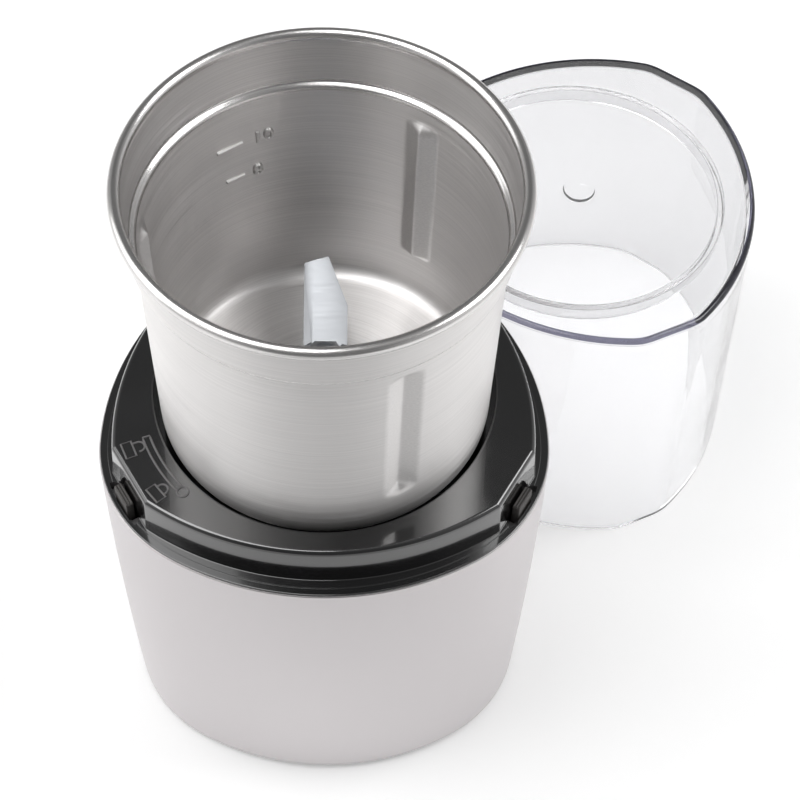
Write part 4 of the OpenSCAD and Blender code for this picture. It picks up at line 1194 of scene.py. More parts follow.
@dataclass
class Deck:
    """Gloss deck: ledge, raised platform, well, bayonet tabs and corner pockets."""

    plan: RoundedPlan
    material: Material
    platform: CutPlan = CutPlan(0.04945, 0.0738, 0.05513)
    lug: Lug = Lug()
    signs: Signs = Signs()
    count: tuple[int, int] = (60, 12)
    z_top: float = 0.1174
    z_ledge: float = 0.1061
    z_rim: float = 0.1054
    z_well: float = 0.1015
    z_under: float = 0.0985
    z_boss: float = 0.0995
    well_r: float = 0.0432
    hub_r: float = 0.0125
    wall: float = 0.0023
    draft: float = 0.00075
    edge: float = 0.0013
    inside: float = 0.00085
    skirt: float = 0.0016
    skirt_h: float = 0.006
    flange: float = 0.0025
    rim_step: float = 0.00018
    rim_lip: float = 0.0014
    seat: float = 0.0001
    pocket_floor: float = 0.103
    tab_r: float = 0.0389

    @property
    def z_flange(self) -> float:
        """Height of the ledge's underside."""
        return self.z_ledge - self.flange

    def section(self) -> list[tuple[Course, float, float]]:
        """The deck's closed section, as (course, offset or radius, height)."""
        top, ledge, under = self.z_top, self.z_ledge, self.z_flange
        well = held(filleted(
            [(self.well_r, self.z_well), (self.well_r, top), (self.well_r + 0.0012, top)], [0, 0.0005, 0], 4
        ))
        # over the platform's edge, down its drafted wall and onto the ledge
        wall = held(filleted(
            [(-0.0026, top), (0, top), (self.draft, ledge), (0.00112, ledge)], [0, self.edge, 0.0003, 0], 8
        ))
        # the rim lies a step lower than the ledge
        low, outer = ledge - self.rim_step, -0.0003
        rim = held(filleted(
            [(-0.0024, ledge), (-0.00232, ledge), (-0.00218, low), (outer, low),
             (outer, self.z_rim - self.seat)],
            [0, 0.00003, 0.00006, 0.0004, 0], 5,
        ))
        lines = ((Course.CIRCLE, well), (Course.PLATFORM, wall[1:]), (Course.OUTLINE, rim))
        rows = [(course, offset, z) for course, line in lines for offset, z in line]
        deep, hollow, well_out = -self.inside - self.skirt, top - self.wall, self.well_r + self.wall
        rows += [
            (Course.OUTLINE, -self.inside, self.z_rim - self.seat),
            (Course.OUTLINE, -self.inside, under - self.skirt_h),
            (Course.OUTLINE, deep, under - self.skirt_h), (Course.OUTLINE, deep, under),
            (Course.PLATFORM, -self.wall, under), (Course.PLATFORM, -self.wall, hollow),
            (Course.CIRCLE, well_out, hollow), (Course.CIRCLE, well_out, self.z_under),
            (Course.CIRCLE, self.hub_r, self.z_under), (Course.CIRCLE, self.hub_r, self.z_well),
        ]
        return rows

    def ring(self, row: tuple[Course, float, float]) -> Points:
        """One ring of the deck.

        Args:
            row: Course, offset or radius, and height from the section.

        Returns:
            The ring's points.
        """
        course, offset, z = row
        if course is Course.PLATFORM:
            return self.platform.ring(offset, offset, z, self.count)
        angles = plan_angles(self.platform.vertex(0, 0), self.count)
        radius = self.plan.radius(angles, offset) if course is Course.OUTLINE else offset
        return polar(radius, angles, z)

    def pocket(self, low: float) -> Object:
        """Cutter for one corner pocket along +X, with ends that flare outwards.

        Args:
            low: Height of its floor.

        Returns:
            The cutter.
        """
        # half of its outline, from the middle of its outer side
        r, at = self.plan.corner - self.rim_lip, self.plan.ahead
        outer = [(at + math.sqrt(r * r - t * t), t) for t in np.linspace(0, 0.0071, 9)]
        line = filleted(
            [*outer, (0.0571, 0.0069), (0.0557, 0.0057), (0.0557, 0)],
            [0] * 8 + [0.0006, 0.0012, 0.0014, 0], 6,
        )
        mirror = line[::-1][1:-1] * np.array([1, -1])
        return prism("pocket", np.vstack([line, mirror]), low, self.z_top + 0.002)

    def tub(self) -> Object:
        """Hollow block under one corner, with the pocket and the lug's hole in it."""
        lug, gap = self.lug, self.lug.gap
        tub = block("tub", (0.0538, -0.0086, self.pocket_floor - 0.0014), (0.0589, 0.0086, self.z_flange))
        hole = block("hole", (lug.out - lug.width - gap, -lug.length / 2 - gap, 0.09),
                     (lug.out + gap, lug.length / 2 + gap, 0.12))
        cut(tub, [self.pocket(self.pocket_floor), hole])
        return tub

    def build(self) -> None:
        """Make the deck with its pockets, tabs, tubs, bosses and signs."""
        rings = np.array([self.ring(r) for r in self.section()])
        deck = loft("deck_skin", rings, 20)
        low, high = (0.0456, -0.0062, self.z_flange - 0.007), (0.0656, 0.0062, self.z_flange - 0.002)
        arms = [turned(block("arm", low, high), az) for az in CORNER_AZ]
        cut(deck, [turned(self.pocket(self.z_flange - 0.0005), az) for az in CORNER_AZ] + arms)
        soften(deck, 20)
        tubs = [turned(self.tub(), az) for az in CORNER_AZ]
        tabs = [arc_block("tab", az + 14, az + 106, self.tab_r, self.well_r + 0.001, 0.1055, 0.1079)
                for az in SIDE_AZ]
        bosses = []
        rows = ((SIDE_AZ, 0.0038, 0.0426, 0.0913), (CORNER_AZ, 0.0045, 0.033, 0.0903))
        for azimuths, radius, reach, foot in rows:
            for az in azimuths:
                boss = pillar("boss", radius, foot, self.z_boss)
                bosses.append(turned(boss, 0, polar(reach, np.array([az]), 0)[0]))
        signs = self.signs.build(self.z_top)
        whole = joined("deck_moulding", [deck, *tubs, *tabs, *bosses, *signs], 32)
        self.mark_dull_and_sheen(whole.data)
        dress(whole, self.material, "base", "deck_gloss", "deck")

    def mark_dull_and_sheen(self, mesh: Mesh) -> None:
        """Mark the faces of the corner pockets and of the signs as matt, with a lighter grey as painted light.

        Args:
            mesh: The deck's mesh.
        """
        x, y, z = face_centres(mesh).T
        dull_and_sheen = np.zeros(len(z))
        for az in np.radians(CORNER_AZ):
            out, across = x * np.cos(az) + y * np.sin(az), y * np.cos(az) - x * np.sin(az)
            dull_and_sheen[(out > 0.0554) & (out < 0.0589) & (abs(across) < 0.0084)] = 1
        dull_and_sheen[(z > self.z_ledge - 0.0003) | (z < self.pocket_floor - 0.0002)] = 0
        dull_and_sheen[z > self.z_top + 0.00001] = 1
        mark_faces(mesh, "dull_and_sheen", dull_and_sheen)


# Half width and height of a ridge's rounded section, from side to side
RIDGE = ((-0.0003, -0.00006), (-0.00026, 0.0001), (-0.00017, 0.0002), (-0.00006, 0.00025),
         (0.00006, 0.00025), (0.00017, 0.0002), (0.00026, 0.0001), (0.0003, -0.00006))


def raised_line(points: Sequence[Sequence[float]], z: float, closed: bool = True) -> Object:
    """A fine moulded ridge that follows a flat line.

    Args:
        points: The line.
        z: Height of the surface that it stands on.
        closed: Join its end to its start.

    Returns:
        The ridge.
    """
    line = np.array(points, float)
    n, m = len(line), len(RIDGE)
    before, after = np.roll(line, 1, axis=0), np.roll(line, -1, axis=0)
    if not closed:
        before[0], after[-1] = line[0], line[-1]
    way = after - before
    way /= np.linalg.norm(way, axis=1)[:, None]
    side = np.stack([-way[:, 1], way[:, 0]], 1)
    rows = [np.column_stack([line + side * offset, np.full(n, z + rise)]) for offset, rise in RIDGE]
    faces = [face for k in range(m) for face in band(k, m, n, n if closed else n - 1)]
    if not closed:
        faces += [[k * n for k in range(m)], [(k + 1) * n - 1 for k in range(m)][::-1]]
    obj = make_object("ridge", np.vstack(rows), faces, 50)
    gather(obj.data, [obj.data], outwards=True)
    return obj


@dataclass
class StartRing:
    """Ring under the deck whose ribbed lugs stand up at the corners."""

    material: Material
    lug: Lug = Lug()
    z_low: float = 0.0964
    z_high: float = 0.099
    r_in: float = 0.0472
    r_out: float = 0.05
    arm_in: float = 0.0456
    lug_top: float = 0.1099
    rib_r: float = 0.0003
    ribs: int = 3
    foot_h: float = 0.0043

    def build(self) -> None:
        """Make the ring, its switch foot and its three lugs with ribs."""
        section = [(self.r_out, self.z_low), (self.r_out, self.z_high),
                   (self.r_in, self.z_high), (self.r_in, self.z_low)]
        ring = revolve("ring", np.array(section), 120)
        out, width, half = self.lug.out, self.lug.width, self.lug.length / 2
        arm = block("arm", (self.arm_in, -half, self.z_low), (out, half, self.z_high))
        lug = block("lug", (out - width, -half, self.z_high - 0.0002), (out, half, self.lug_top - 0.00025))
        bevelled(lug, 0.0003)
        ribs = []
        for i in range(self.ribs):
            rib = pillar("rib", self.rib_r, -half + self.rib_r, half - self.rib_r, 16)
            place = (out - width * (i + 0.5) / self.ribs, 0, self.lug_top - self.rib_r)
            ribs.append(turned(rib, 90, place, "X"))
        lugs = set_out(joined("lugs", [arm, lug, *ribs], 35), self.material, 3, 90, 0.0)
        foot = block("foot", (0.0466, 0.0045, self.z_low - self.foot_h), (0.0496, 0.0075, self.z_high))
        whole = joined("start_ring_lugs", [ring, lugs, turned(foot, 180)], 35)
        dress(whole, self.material, "start_ring", "ring_black", "start_ring")


@dataclass(frozen=True)
class LevelMark:
    """One level line in the bowl with its figures, in degrees round the axis."""

    z: float
    start: float
    end: float
    figures_at: float
    figures: str


@dataclass
class Bowl:
    """Spun steel bowl with rolled lip, shoulder, three pressed flutes and level marks."""

    steel: Material
    z_low: float = 0.1113
    z_lip: float = 0.1963
    rim_r: float = 0.0475
    lip: float = 0.003
    sheet: float = 0.0008
    body_top: float = 0.043
    body_low: float = 0.0416
    shoulder_in: float = 0.0029
    shoulder_drop: float = 0.0153
    shoulder_rise: float = 0.0009
    bottom_round: float = 0.005
    hole_r: float = 0.0082
    flute_w: float = 0.0041
    flute_depth: float = 0.0018
    flute_low: float = 0.0175
    flute_high: float = 0.0225
    flute_end: float = 0.003
    flute_soft: float = 0.16
    crease: float = 0.0003
    part: float = 0.0016
    flute_az: tuple[float, ...] = (56.5, 176.5, 296.5)
    marks: tuple[LevelMark, ...] = (
        LevelMark(0.167, 119, 128.7, 111.5, "10"),
        LevelMark(0.1555, 119, 126, 114, "8"),
    )

    @property
    def z_shoulder(self) -> float:
        """Height of the shoulder's outer edge."""
        return self.z_lip - self.shoulder_drop

    def flute(self, radius: Points, z: float, degrees: Points) -> Points:
        """Press the flutes into a wall.

        Args:
            radius: The wall's plain radius in each direction.
            z: Height.
            degrees: Directions.

        Returns:
            The radius with the flutes.
        """
        past = max(self.z_low + self.flute_low - z, z - (self.z_lip - self.flute_high))
        ends = float(np.clip(1 - past / self.flute_end, 0, 1))
        ends = ends * ends * (3 - 2 * ends)
        out, soft = radius.copy(), self.flute_soft
        for az in self.flute_az:
            across = radius * np.radians((degrees - az + 180) % 360 - 180)
            bent = np.sqrt(across**2 + self.crease**2) - self.crease
            v = 1 - bent / self.flute_w
            h = np.clip(0.5 + 0.5 * v / soft, 0, 1)
            out -= self.flute_depth * ends * np.where(v > -0.2, v * h + soft * h * (1 - h), 0)
        return out

    def wall_line(self, inset: float, foot: float, brow: float) -> Points:
        """Line of the wall as radius and height, from the floor up.

        Args:
            inset: Distance from the outside of the sheet.
            foot: Rounding under the shoulder.
            brow: Rounding over the shoulder.

        Returns:
            The line, with a point wherever the flutes' ends need one.
        """
        tips = ((self.z_low + self.flute_low, -1), (self.z_lip - self.flute_high, 1))
        ends = [end + k * way * self.flute_end / 5 for end, way in tips for k in range(6)]
        low = (self.body_low - inset * 0.7, self.z_low + inset)
        high = (self.body_top - inset, self.z_shoulder - self.shoulder_rise + inset / 2)
        slope = (high[0] - low[0]) / (high[1] - low[1])
        wall = [(low[0] + slope * (z - low[1]), z) for z in sorted(ends)]
        shoulder = (self.rim_r - self.shoulder_in - inset, self.z_shoulder + inset / 2)
        neck = (self.rim_r - self.lip / 2 - 0.00025 - inset, self.z_lip - self.lip / 2 - 0.001)
        return filleted(
            [(self.hole_r, self.z_low + inset), low, *wall, high, shoulder, neck],
            [0, self.bottom_round - inset, *[0] * len(wall), foot, brow, 0], 8,
        )

    def round_angles(self, az: float) -> Points:
        """Directions over a third of the bowl, close together in the flute at its start."""
        flute = np.degrees(self.flute_w * 1.35 / self.body_top)
        near = np.linspace(-flute, flute, 49)[:-1]
        return az + np.concatenate([near, np.linspace(flute, 120 - flute, 84)[:-1]])

    def raised_marks(self) -> list[Object]:
        """Level lines and figures on the inner wall."""
        pieces = []
        for mark in self.marks:
            share = (mark.z - self.z_low) / (self.z_shoulder - self.z_low)
            radius = self.body_low + (self.body_top - self.body_low) * share - self.sheet
            half = math.radians(mark.end - mark.start) * radius / 2
            line = turned(pillar("line", 0.0005, -half, half, 16), 90, axis="Y")
            figures = placed_text(mark.figures, 0.0036, 0.0004)
            middle = (mark.start + mark.end) / 2
            for obj, at, sunk in ((line, middle, 0.00005), (figures, mark.figures_at, 0.0001)):
                for v in obj.data.vertices:
                    a, r = math.radians(at) - v.co.x / radius, radius - v.co.z - sunk
                    v.co = (r * math.cos(a), r * math.sin(a), mark.z + v.co.y)
                pieces.append(obj)
        return pieces

    def build(self) -> None:
        """Make the bowl with its lip and its level marks."""
        outer = dense(self.wall_line(0.0, 0.0005, 0.0015), self.part)
        inner = dense(self.wall_line(self.sheet, 0.0016, 0.001), self.part)
        # the lip rolls outwards over the wall's end
        r = self.lip / 2
        roll = [(self.rim_r - r + r * math.cos(a), self.z_lip - r + r * math.sin(a))
                for a in np.radians(np.arange(-105, 181, 15))]
        section = np.vstack([outer, roll, inner[::-1]])
        angles = np.concatenate([self.round_angles(az) for az in self.flute_az])
        rings = [polar(self.flute(np.full(angles.shape, r), z, angles), angles, z) for r, z in section]
        sheet = loft("sheet", np.array(rings), 50)
        bowl = joined("bowl_sheet", [sheet, *self.raised_marks()], 50)
        height = face_centres(bowl.data)[:, 2]
        lip = height > self.z_lip - self.lip - 0.0002
        ridge = np.abs(height - (self.z_shoulder - 0.0001)) < 0.001
        mark_faces(bowl.data, "polished", (lip | ridge).astype(float))
        dress(bowl, self.steel, "bowl", "bowl_steel", "bowl_shell")


def placed_text(words: str, height: float, rise: float) -> Object:
    """Raised figures in the XY plane, their middle on the origin.

    Args:
        words: The figures.
        height: Height of a figure.
        rise: How far they stand up along Z.

    Returns:
        A mesh object.
    """
    data = bpy.data.curves.new("figures", "FONT")
    data.body = words
    # a figure is 0.72 of the type's size
    data.size = height / 0.72
    data.space_character = 1.15
    data.align_x, data.align_y = "CENTER", "CENTER"
    data.extrude = rise * 0.3
    data.bevel_depth = rise
    data.bevel_resolution = 2
    data.resolution_u = 5
    data.offset = -rise * 0.5
    text = place_object("figures", data)
    graph = bpy.context.evaluated_depsgraph_get()
    graph.update()
    mesh = bpy.data.meshes.new_from_object(text.evaluated_get(graph))
    bpy.data.objects.remove(text)
    gather(mesh, [mesh], merge=0.000001, outwards=True)
    return place_object("figures", mesh)


@dataclass
class Lid:
    """Clear lid with flat corners, a collar under its top and a gate mark in the middle."""

    material: Material
    plan: CutPlan = CutPlan(0.0543, 0.07345, 0.0598, 0.0011)
    count: tuple[int, int] = (56, 14)
    height: float = 0.0943
    taper: float = 0.00355
    corner_taper: float = 0.0042
    wall: float = 0.0024
    top: float = 0.0026
    edge: float = 0.0015
    inner_edge: float = 0.0008
    mouth: float = 0.0003
    gate: float = 0.0008
    collar_r: float = 0.0418
    collar_w: float = 0.0016
    collar_h: float = 0.005
    place: tuple[float, float] = (0.0712, 0.0853)
    turn: float = -35.5

    def wall_ring(self, offset: float, z: float) -> Points:
        """One ring of the drafted wall, grown by an offset."""
        drawn = -self.taper * min(1.0, z / (self.height - self.gate - self.edge))
        return self.plan.ring(drawn + offset, drawn * self.corner_taper / self.taper + offset, z, self.count)

    def outside(self) -> tuple[list[Points], tuple[int, int]]:
        """Rings of the outside from the mouth up, and the first and last ring of the rounded edge."""
        h = self.height - self.gate
        rings = [self.wall_ring(-self.mouth, 0.0), self.wall_ring(0, self.mouth)]
        rings += [self.wall_ring(0, z) for z in np.linspace(0.004, h - self.edge, 18)]
        rim = (len(rings) + 1, len(rings) + 8)
        for a in np.radians(np.arange(11.25, 90.1, 11.25)):
            rings.append(self.wall_ring(-self.edge * (1 - math.cos(a)), h - self.edge * (1 - math.sin(a))))
        rings.append(self.wall_ring(-self.edge - 0.0002, h))
        # gate mark: a low round stub with soft edges
        stub = held(filleted(
            [(0.0075, 0), (0.0047, 0), (0.0043, self.gate), (0.0, self.gate)], [0, 0.0004, 0.0003, 0], 5
        ))
        return rings + [self.round_ring(r, h + z) for r, z in stub[:-1]], rim

    def inside(self, roof: float) -> list[Points]:
        """Rings of the inside from the middle of its roof, over the collar, down to the mouth.

        Args:
            roof: Height of the roof.

        Returns:
            The rings.
        """
        inner, outer, foot = self.collar_r - self.collar_w, self.collar_r, roof - self.collar_h
        collar = held(filleted(
            [(0.002, roof), (inner, roof), (inner, foot), (outer, foot), (outer, roof),
             (outer + 0.002, roof)],
            [0, 0.0004, 0.0005, 0.0005, 0.0004, 0], 4,
        ))
        rings = [self.round_ring(r, z) for r, z in collar]
        rings.append(self.wall_ring(-self.wall - self.inner_edge - 0.0003, roof))
        for a in np.radians(np.arange(0, 90.1, 15)):
            away, down = self.inner_edge * (1 - math.sin(a)), self.inner_edge * (1 - math.cos(a))
            rings.append(self.wall_ring(-self.wall - away, roof - down))
        rings += [self.wall_ring(-self.wall, z) for z in np.linspace(roof - 0.004, 0.004, 16)]
        return rings + [self.wall_ring(-self.wall, self.mouth), self.wall_ring(-self.wall + self.mouth, 0.0)]

    def round_ring(self, radius: float, z: float) -> Points:
        """One round ring, with its points in the directions of the wall's top."""
        return polar(radius, plan_angles(self.plan.vertex(-self.taper, -self.corner_taper), self.count), z)

    def build(self) -> None:
        """Make the lid as one closed wall."""
        roof = self.height - self.gate - self.top
        outside, (first, last) = self.outside()
        rings = np.array(outside + self.inside(roof))
        m, n = rings.shape[:2]
        verts = np.vstack([rings.reshape(-1, 3), [[0, 0, self.height], [0, 0, roof]]])
        faces: list[list[int]] = []
        for j in range(m):
            if j == len(outside) - 1:
                # the gate mark and the roof close at their middles
                a, b = j * n, (j + 1) * n
                faces += [[m * n, a + i, a + (i + 1) % n] for i in range(n)]
                faces += [[m * n + 1, b + (i + 1) % n, b + i] for i in range(n)]
            else:
                faces += band(j, m, n, n)
        lid = make_object("lid_moulding", verts, faces, 40)
        # faces of the rounded top edge are marked for the painted dark shade in the plastic's colour
        mark_faces(lid.data, "rim", [float(first <= j // n < last) for j in range(len(lid.data.polygons))])
        turned(lid, self.turn, (*self.place, 0))
        dress(lid, self.material, "lid", "lid_clear", "lid_shell")


@dataclass(frozen=True)
class ScrewSet:
    """Three cross-slot screws with pan heads, pointing up.

    Attributes:
        node: CAD node that they replace.
        length: Length of the shank.
        z: Height of the heads' upper side.
        first: Direction of the first screw, in degrees.
        reach: Axis to each screw.
        rise: Height of a head, whose radius is head, on a shank of radius shank.
    """

    node: str
    length: float
    z: float
    first: float
    reach: float
    rise: float = 0.0018
    head: float = 0.003
    shank: float = 0.0016

    def screw(self) -> Object:
        """Make one screw on the axis."""
        shank, head, rise = self.shank, self.head, self.rise
        line = filleted(
            [(ON_AXIS, -rise), (head, -rise), (head, 0.0), (shank, 0.0), (shank, self.length - shank),
             (shank * 0.35, self.length), (ON_AXIS, self.length)],
            [0, rise * 0.5, 0.0001, 0, 0, 0, 0], 5,
        )
        screw = revolve("screw", line, 32)
        low, high = (-head * 0.6, -0.0004, -rise - 0.001), (head * 0.6, 0.0004, -rise + 0.0008)
        cut(screw, [turned(block("slot", low, high), a) for a in (0, 90)])
        soften(screw, 35)
        return screw


@dataclass
class Fittings:
    """Pieces that keep their CAD shape, smoothed, and those set out round the axis."""

    finish: dict[str, Material]
    slots: dict[str, str]
    bodies: dict[str, str]

    smoothed: tuple[str, ...] = (
        "bowl_foot", "foot_gasket", "bearing_sleeve", "shaft_seal", "thrust_washer", "lower_blade",
        "blade_spacer", "upper_blade", "blade_nut", "blade_shaft", "shaft_clip", "driven_hub", "drive_socket",
        "cord_gland", "bottom_cover",
    )
    screws: tuple[ScrewSet, ...] = (
        ScrewSet("cover_screws", 0.012, 0.0029, 30, 0.0434, rise=0.0012),
        ScrewSet("deck_screws", 0.009, 0.0883, 30, 0.0426),
        ScrewSet("mount_screws", 0.013, 0.0833, 90, 0.033),
        ScrewSet("foot_screws", 0.0075, 0.1038, 90, 0.026),
    )

    def three(
        self, piece: Object, name: str, slot: str, first: float, reach: float, z: float, sharp: float
    ) -> Object:
        """Set a piece out three times round the axis.

        Args:
            piece: The piece, on the axis.
            name: Name of the set.
            slot: The record's material slot.
            first: Direction of the first copy, in degrees.
            reach: Axis to each copy.
            z: How far they are raised.
            sharp: Angle over which edges stay sharp.

        Returns:
            The set.
        """
        whole = set_out(piece, self.finish[slot], 3, first, reach)
        whole.name = name
        turned(whole, move=(0, 0, z))
        soften(whole, sharp)
        return whole

    def springs(self) -> None:
        """Wind the three return springs, which stretch between the base and the start ring."""
        steel = self.finish["spring_steel"]
        spring = coil("return_spring", steel, 5, 0.0021, 0.00758, 0.0006)
        springs = self.three(spring, "return_spring_set", "spring_steel", 90, 0.0486, 0.0888, 40)
        springs.data.materials.clear()
        springs.data.materials.append(steel)
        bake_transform(springs)
        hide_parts("return_springs")

    def feet(self) -> None:
        """Mould the three rubber feet with their barbed stems."""
        line = filleted(
            [(ON_AXIS, 0.0), (0.0055, 0.0), (0.006, 0.0016), (0.00245, 0.0016), (0.00245, 0.0042),
             (0.0031, 0.0042), (0.0022, 0.0054), (ON_AXIS, 0.0054)],
            [0, 0.0004, 0.0003, 0.0002, 0, 0.0002, 0.0003, 0], 4,
        )
        feet = self.three(revolve("foot", line, 64), "rubber_feet_set", "rubber_black", 90, 0.045, 0.0, 35)
        dress(feet, self.finish["rubber_black"], "base", "rubber_black", "rubber_feet")

    def build(self) -> None:
        """Dress every node that no other class replaces."""
        for node in self.smoothed:
            dress(cad_copy(node), self.finish[self.slots[node]], self.bodies[node], self.slots[node], node)
        zinc = "zinc_screw"
        for row in self.screws:
            piece = self.three(row.screw(), row.node + "_set", zinc, row.first, row.reach, row.z, 35)
            dress(piece, self.finish[zinc], self.bodies[row.node], zinc, row.node)
        self.feet()
        self.springs()
        for node, obj in frame["nodes"].items():
            material = self.finish[self.slots[node]]
            if obj.material_slots:
                for slot in obj.material_slots:
                    slot.material = material
            else:
                obj.data.materials.append(material)
        log.info("%d CAD nodes dressed", len(frame["nodes"]))


@dataclass(frozen=True)
class Lamp:
    """Soft square lamp that hangs at a place and points at its aim, with its power in watts."""

    name: str
    place: tuple[float, float, float]
    aim: tuple[float, float, float]
    size: float
    power: float

    def build(self) -> None:
        """Hang the lamp."""
        data = bpy.data.lights.new(self.name, "AREA")
        data.shape = "SQUARE"
        data.size = self.size
        data.energy = self.power
        obj = place_object(self.name, data)
        obj.location = self.place
        obj.rotation_euler = (Vector(self.aim) - Vector(self.place)).to_track_quat("-Z", "Y").to_euler()


@dataclass
class Studio:
    """White sweep, soft light and the camera at the photograph's place."""

    spot: tuple[float, float, float] = (0.008275, -0.289285, 0.534668)
    right: tuple[float, float, float] = (0.99974, -0.0042, 0.02256)
    up: tuple[float, float, float] = (-0.00923, 0.8262, 0.5633)
    back: tuple[float, float, float] = (-0.0210, -0.56336, 0.82594)
    lens: float = 90.373
    card: float = 0.86
    glow: float = 0.28
    half: float = 4.0
    drop: float = 0.00002
    lamps: tuple[Lamp, ...] = (
        Lamp("overhead", (-0.26, 0.0, 0.92), (0.02, 0.02, 0.1), 0.56, 3.8),
        Lamp("left", (-1.0, 0.1, 0.75), (0, 0, 0.1), 0.9, 2.8),
        Lamp("right", (0.68, 0.1, 0.98), (0, 0, 0.1), 0.5, 3.8),
    )

    def camera(self) -> None:
        """Place the camera."""
        data = bpy.data.cameras.new("view")
        data.sensor_width = 36.0
        data.lens = self.lens
        data.clip_start, data.clip_end = 0.02, 50
        obj = place_object("view", data)
        rows = Matrix((self.right, self.up, self.back)).transposed().to_4x4()
        obj.matrix_world = Matrix.Translation(self.spot) @ rows
        bpy.context.scene.camera = obj

    @staticmethod
    def seen(tree: NodeTree, path: Node) -> NodeSocket:
        """1 for what the camera sees, straight or through the lid, and 0 for all other light."""
        rays = {0: path.outputs["Is Camera Ray"], 1: path.outputs["Is Transmission Ray"]}
        return add_node(tree, "ShaderNodeMath", rays, operation="MAXIMUM").outputs[0]

    def painted_floor_level(self, tree: NodeTree, place: NodeSocket, seen: NodeSocket) -> NodeSocket:
        """How light the floor is: painted shade and light for what mirrors see, 1 for what the camera sees.

        Args:
            tree: The floor's node tree.
            place: Object coordinates.
            seen: 1 for what the camera sees.

        Returns:
            The level, with painted shade in front of the object and painted light at both sides, which mirrors
            see.
        """
        parts = add_node(tree, "ShaderNodeSeparateXYZ", {0: place})
        # painted shade on the floor in front of the object stands for the camera stand's shade, and painted
        # light lifts both sides
        front_painted_shade = add_node(
            tree, "ShaderNodeMapRange", {0: parts.outputs["Y"], 1: -0.16, 2: -0.03, 3: 0.6, 4: 1.0}
        )
        wide = add_node(tree, "ShaderNodeMath", {0: parts.outputs["X"]}, operation="ABSOLUTE")
        sides = add_node(tree, "ShaderNodeMapRange", {0: wide, 1: 0.05, 2: 0.16, 3: 0.0, 4: 1.05})
        most = add_node(tree, "ShaderNodeMath", {0: front_painted_shade, 1: sides}, operation="MAXIMUM")
        rest = add_node(tree, "ShaderNodeMath", {0: 1.0, 1: seen}, operation="SUBTRACT")
        hidden = add_node(tree, "ShaderNodeMath", {0: most, 1: rest}, operation="MULTIPLY")
        return add_node(tree, "ShaderNodeMath", {0: hidden, 1: seen}, operation="ADD").outputs[0]

    def floor(self) -> None:
        """White floor that keeps the object's soft shadow; mirrors see painted shade on it in front and
        painted light at the sides.
        """
        half, z = self.half, -self.drop
        corners = [(-half, -half, z), (half, -half, z), (half, half, z), (-half, half, z)]
        obj = make_object("floor", np.array(corners), [(0, 1, 2, 3)])
        material, tree, out = start_material("studio floor, white card")
        path = add_node(tree, "ShaderNodeLightPath")
        place = add_node(tree, "ShaderNodeTexCoord").outputs["Object"]
        seen = self.seen(tree, path)
        level = self.painted_floor_level(tree, place, seen)
        share = add_node(tree, "ShaderNodeMath", {0: level, 1: 1.0}, operation="MINIMUM")
        tone = add_node(
            tree, "ShaderNodeVectorMath", {0: (self.card,) * 3, "Scale": share}, operation="SCALE"
        )
        plain = add_node(tree, "ShaderNodeBsdfDiffuse", {"Color": tone})
        power = add_node(tree, "ShaderNodeMath", {0: level, 1: self.glow}, operation="MULTIPLY")
        glow = add_node(tree, "ShaderNodeEmission", {"Color": (1, 1, 1, 1), "Strength": power})
        both = add_node(tree, "ShaderNodeAddShader", {0: plain, 1: glow})
        wanted = add_node(
            tree, "ShaderNodeMath", {0: seen, 1: path.outputs["Is Glossy Ray"]}, operation="MAXIMUM"
        )
        lift = add_node(tree, "ShaderNodeMixShader", {0: wanted, 1: plain, 2: both})
        # the sweep turns up to plain white behind the object
        reach = add_node(tree, "ShaderNodeVectorMath", {0: place}, operation="LENGTH")
        away = add_node(
            tree, "ShaderNodeMapRange", {0: reach.outputs["Value"], 1: 0.3, 2: 0.8, 3: 0.0, 4: 1.0}
        )
        shown = add_node(
            tree, "ShaderNodeMath", {0: away, 1: path.outputs["Is Camera Ray"]}, operation="MULTIPLY"
        )
        white = add_node(tree, "ShaderNodeEmission", {"Color": (1, 1, 1, 1), "Strength": 1.0})
        sweep = add_node(tree, "ShaderNodeMixShader", {0: shown, 1: lift, 2: white})
        tree.links.new(sweep.outputs[0], out.inputs[0])
        obj.data.materials.append(material)

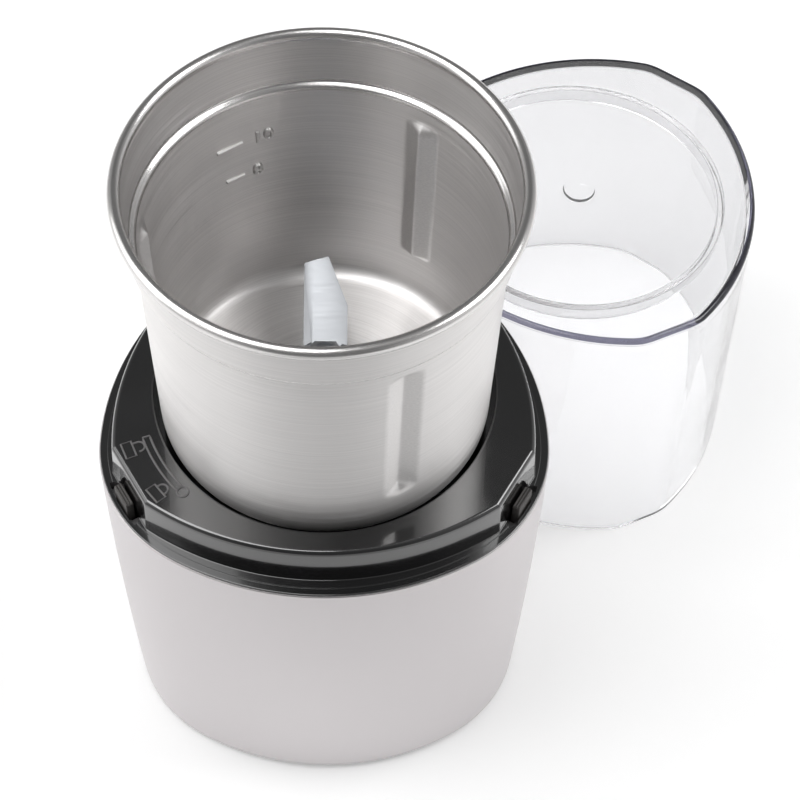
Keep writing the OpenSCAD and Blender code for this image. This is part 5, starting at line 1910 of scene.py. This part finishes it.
    def world(self) -> None:
        """Pale surround: soft above, brighter at both sides, darker behind and towards the camera."""
        world = bpy.data.worlds.new("studio")
        bpy.context.scene.world = world
        world.use_nodes = True
        tree = world.node_tree
        tree.nodes.clear()
        way = add_node(tree, "ShaderNodeTexCoord").outputs["Generated"]
        parts = add_node(tree, "ShaderNodeSeparateXYZ", {0: way})
        deep, wide = (
            add_node(tree, "ShaderNodeMath", {0: parts.outputs[axis]}, operation="ABSOLUTE") for axis in "YX"
        )
        front = add_node(tree, "ShaderNodeMapRange", {0: deep, 1: 0.05, 2: 0.6, 3: 0.42, 4: 0.16})
        sides = add_node(tree, "ShaderNodeMapRange", {0: wide, 1: 0.35, 2: 0.85, 3: 0.0, 4: 0.34})
        level = add_node(tree, "ShaderNodeMath", {0: front, 1: sides}, operation="ADD")
        soft, white = (add_node(tree, "ShaderNodeBackground", {"Color": (1, 1, 1, 1), "Strength": strength})
                       for strength in (level, 1.0))
        seen = self.seen(tree, add_node(tree, "ShaderNodeLightPath"))
        pick = add_node(tree, "ShaderNodeMixShader", {0: seen, 1: soft, 2: white})
        add_node(tree, "ShaderNodeOutputWorld", {0: pick})

    def build(self) -> None:
        """Set up floor, surround, lamps and camera."""
        bpy.context.scene.view_settings.view_transform = "Standard"
        self.floor()
        self.world()
        for lamp in self.lamps:
            lamp.build()
        self.camera()


def main() -> None:
    """Build the chopper's looks piece by piece."""
    logging.basicConfig(level=logging.INFO, format="%(message)s", stream=sys.stdout)
    finish = {slot: kind.build() for slot, kind in FINISHES.items()}
    record = frame["record"]
    slots = {row["node"]: row["material_slot"] for row in record["subparts"]}
    bodies = {node: body for body, nodes in record["behaviour"]["bodies"].items() for node in nodes}
    plan = RoundedPlan()
    Housing(plan, finish["sleeve_steel"]).build()
    Deck(plan, finish["deck_gloss"]).build()
    StartRing(finish["ring_black"]).build()
    Bowl(finish["bowl_steel"]).build()
    Lid(finish["lid_clear"]).build()
    Fittings(finish, slots, bodies).build()
    Studio().build()


if __name__ == "__main__":
    main()
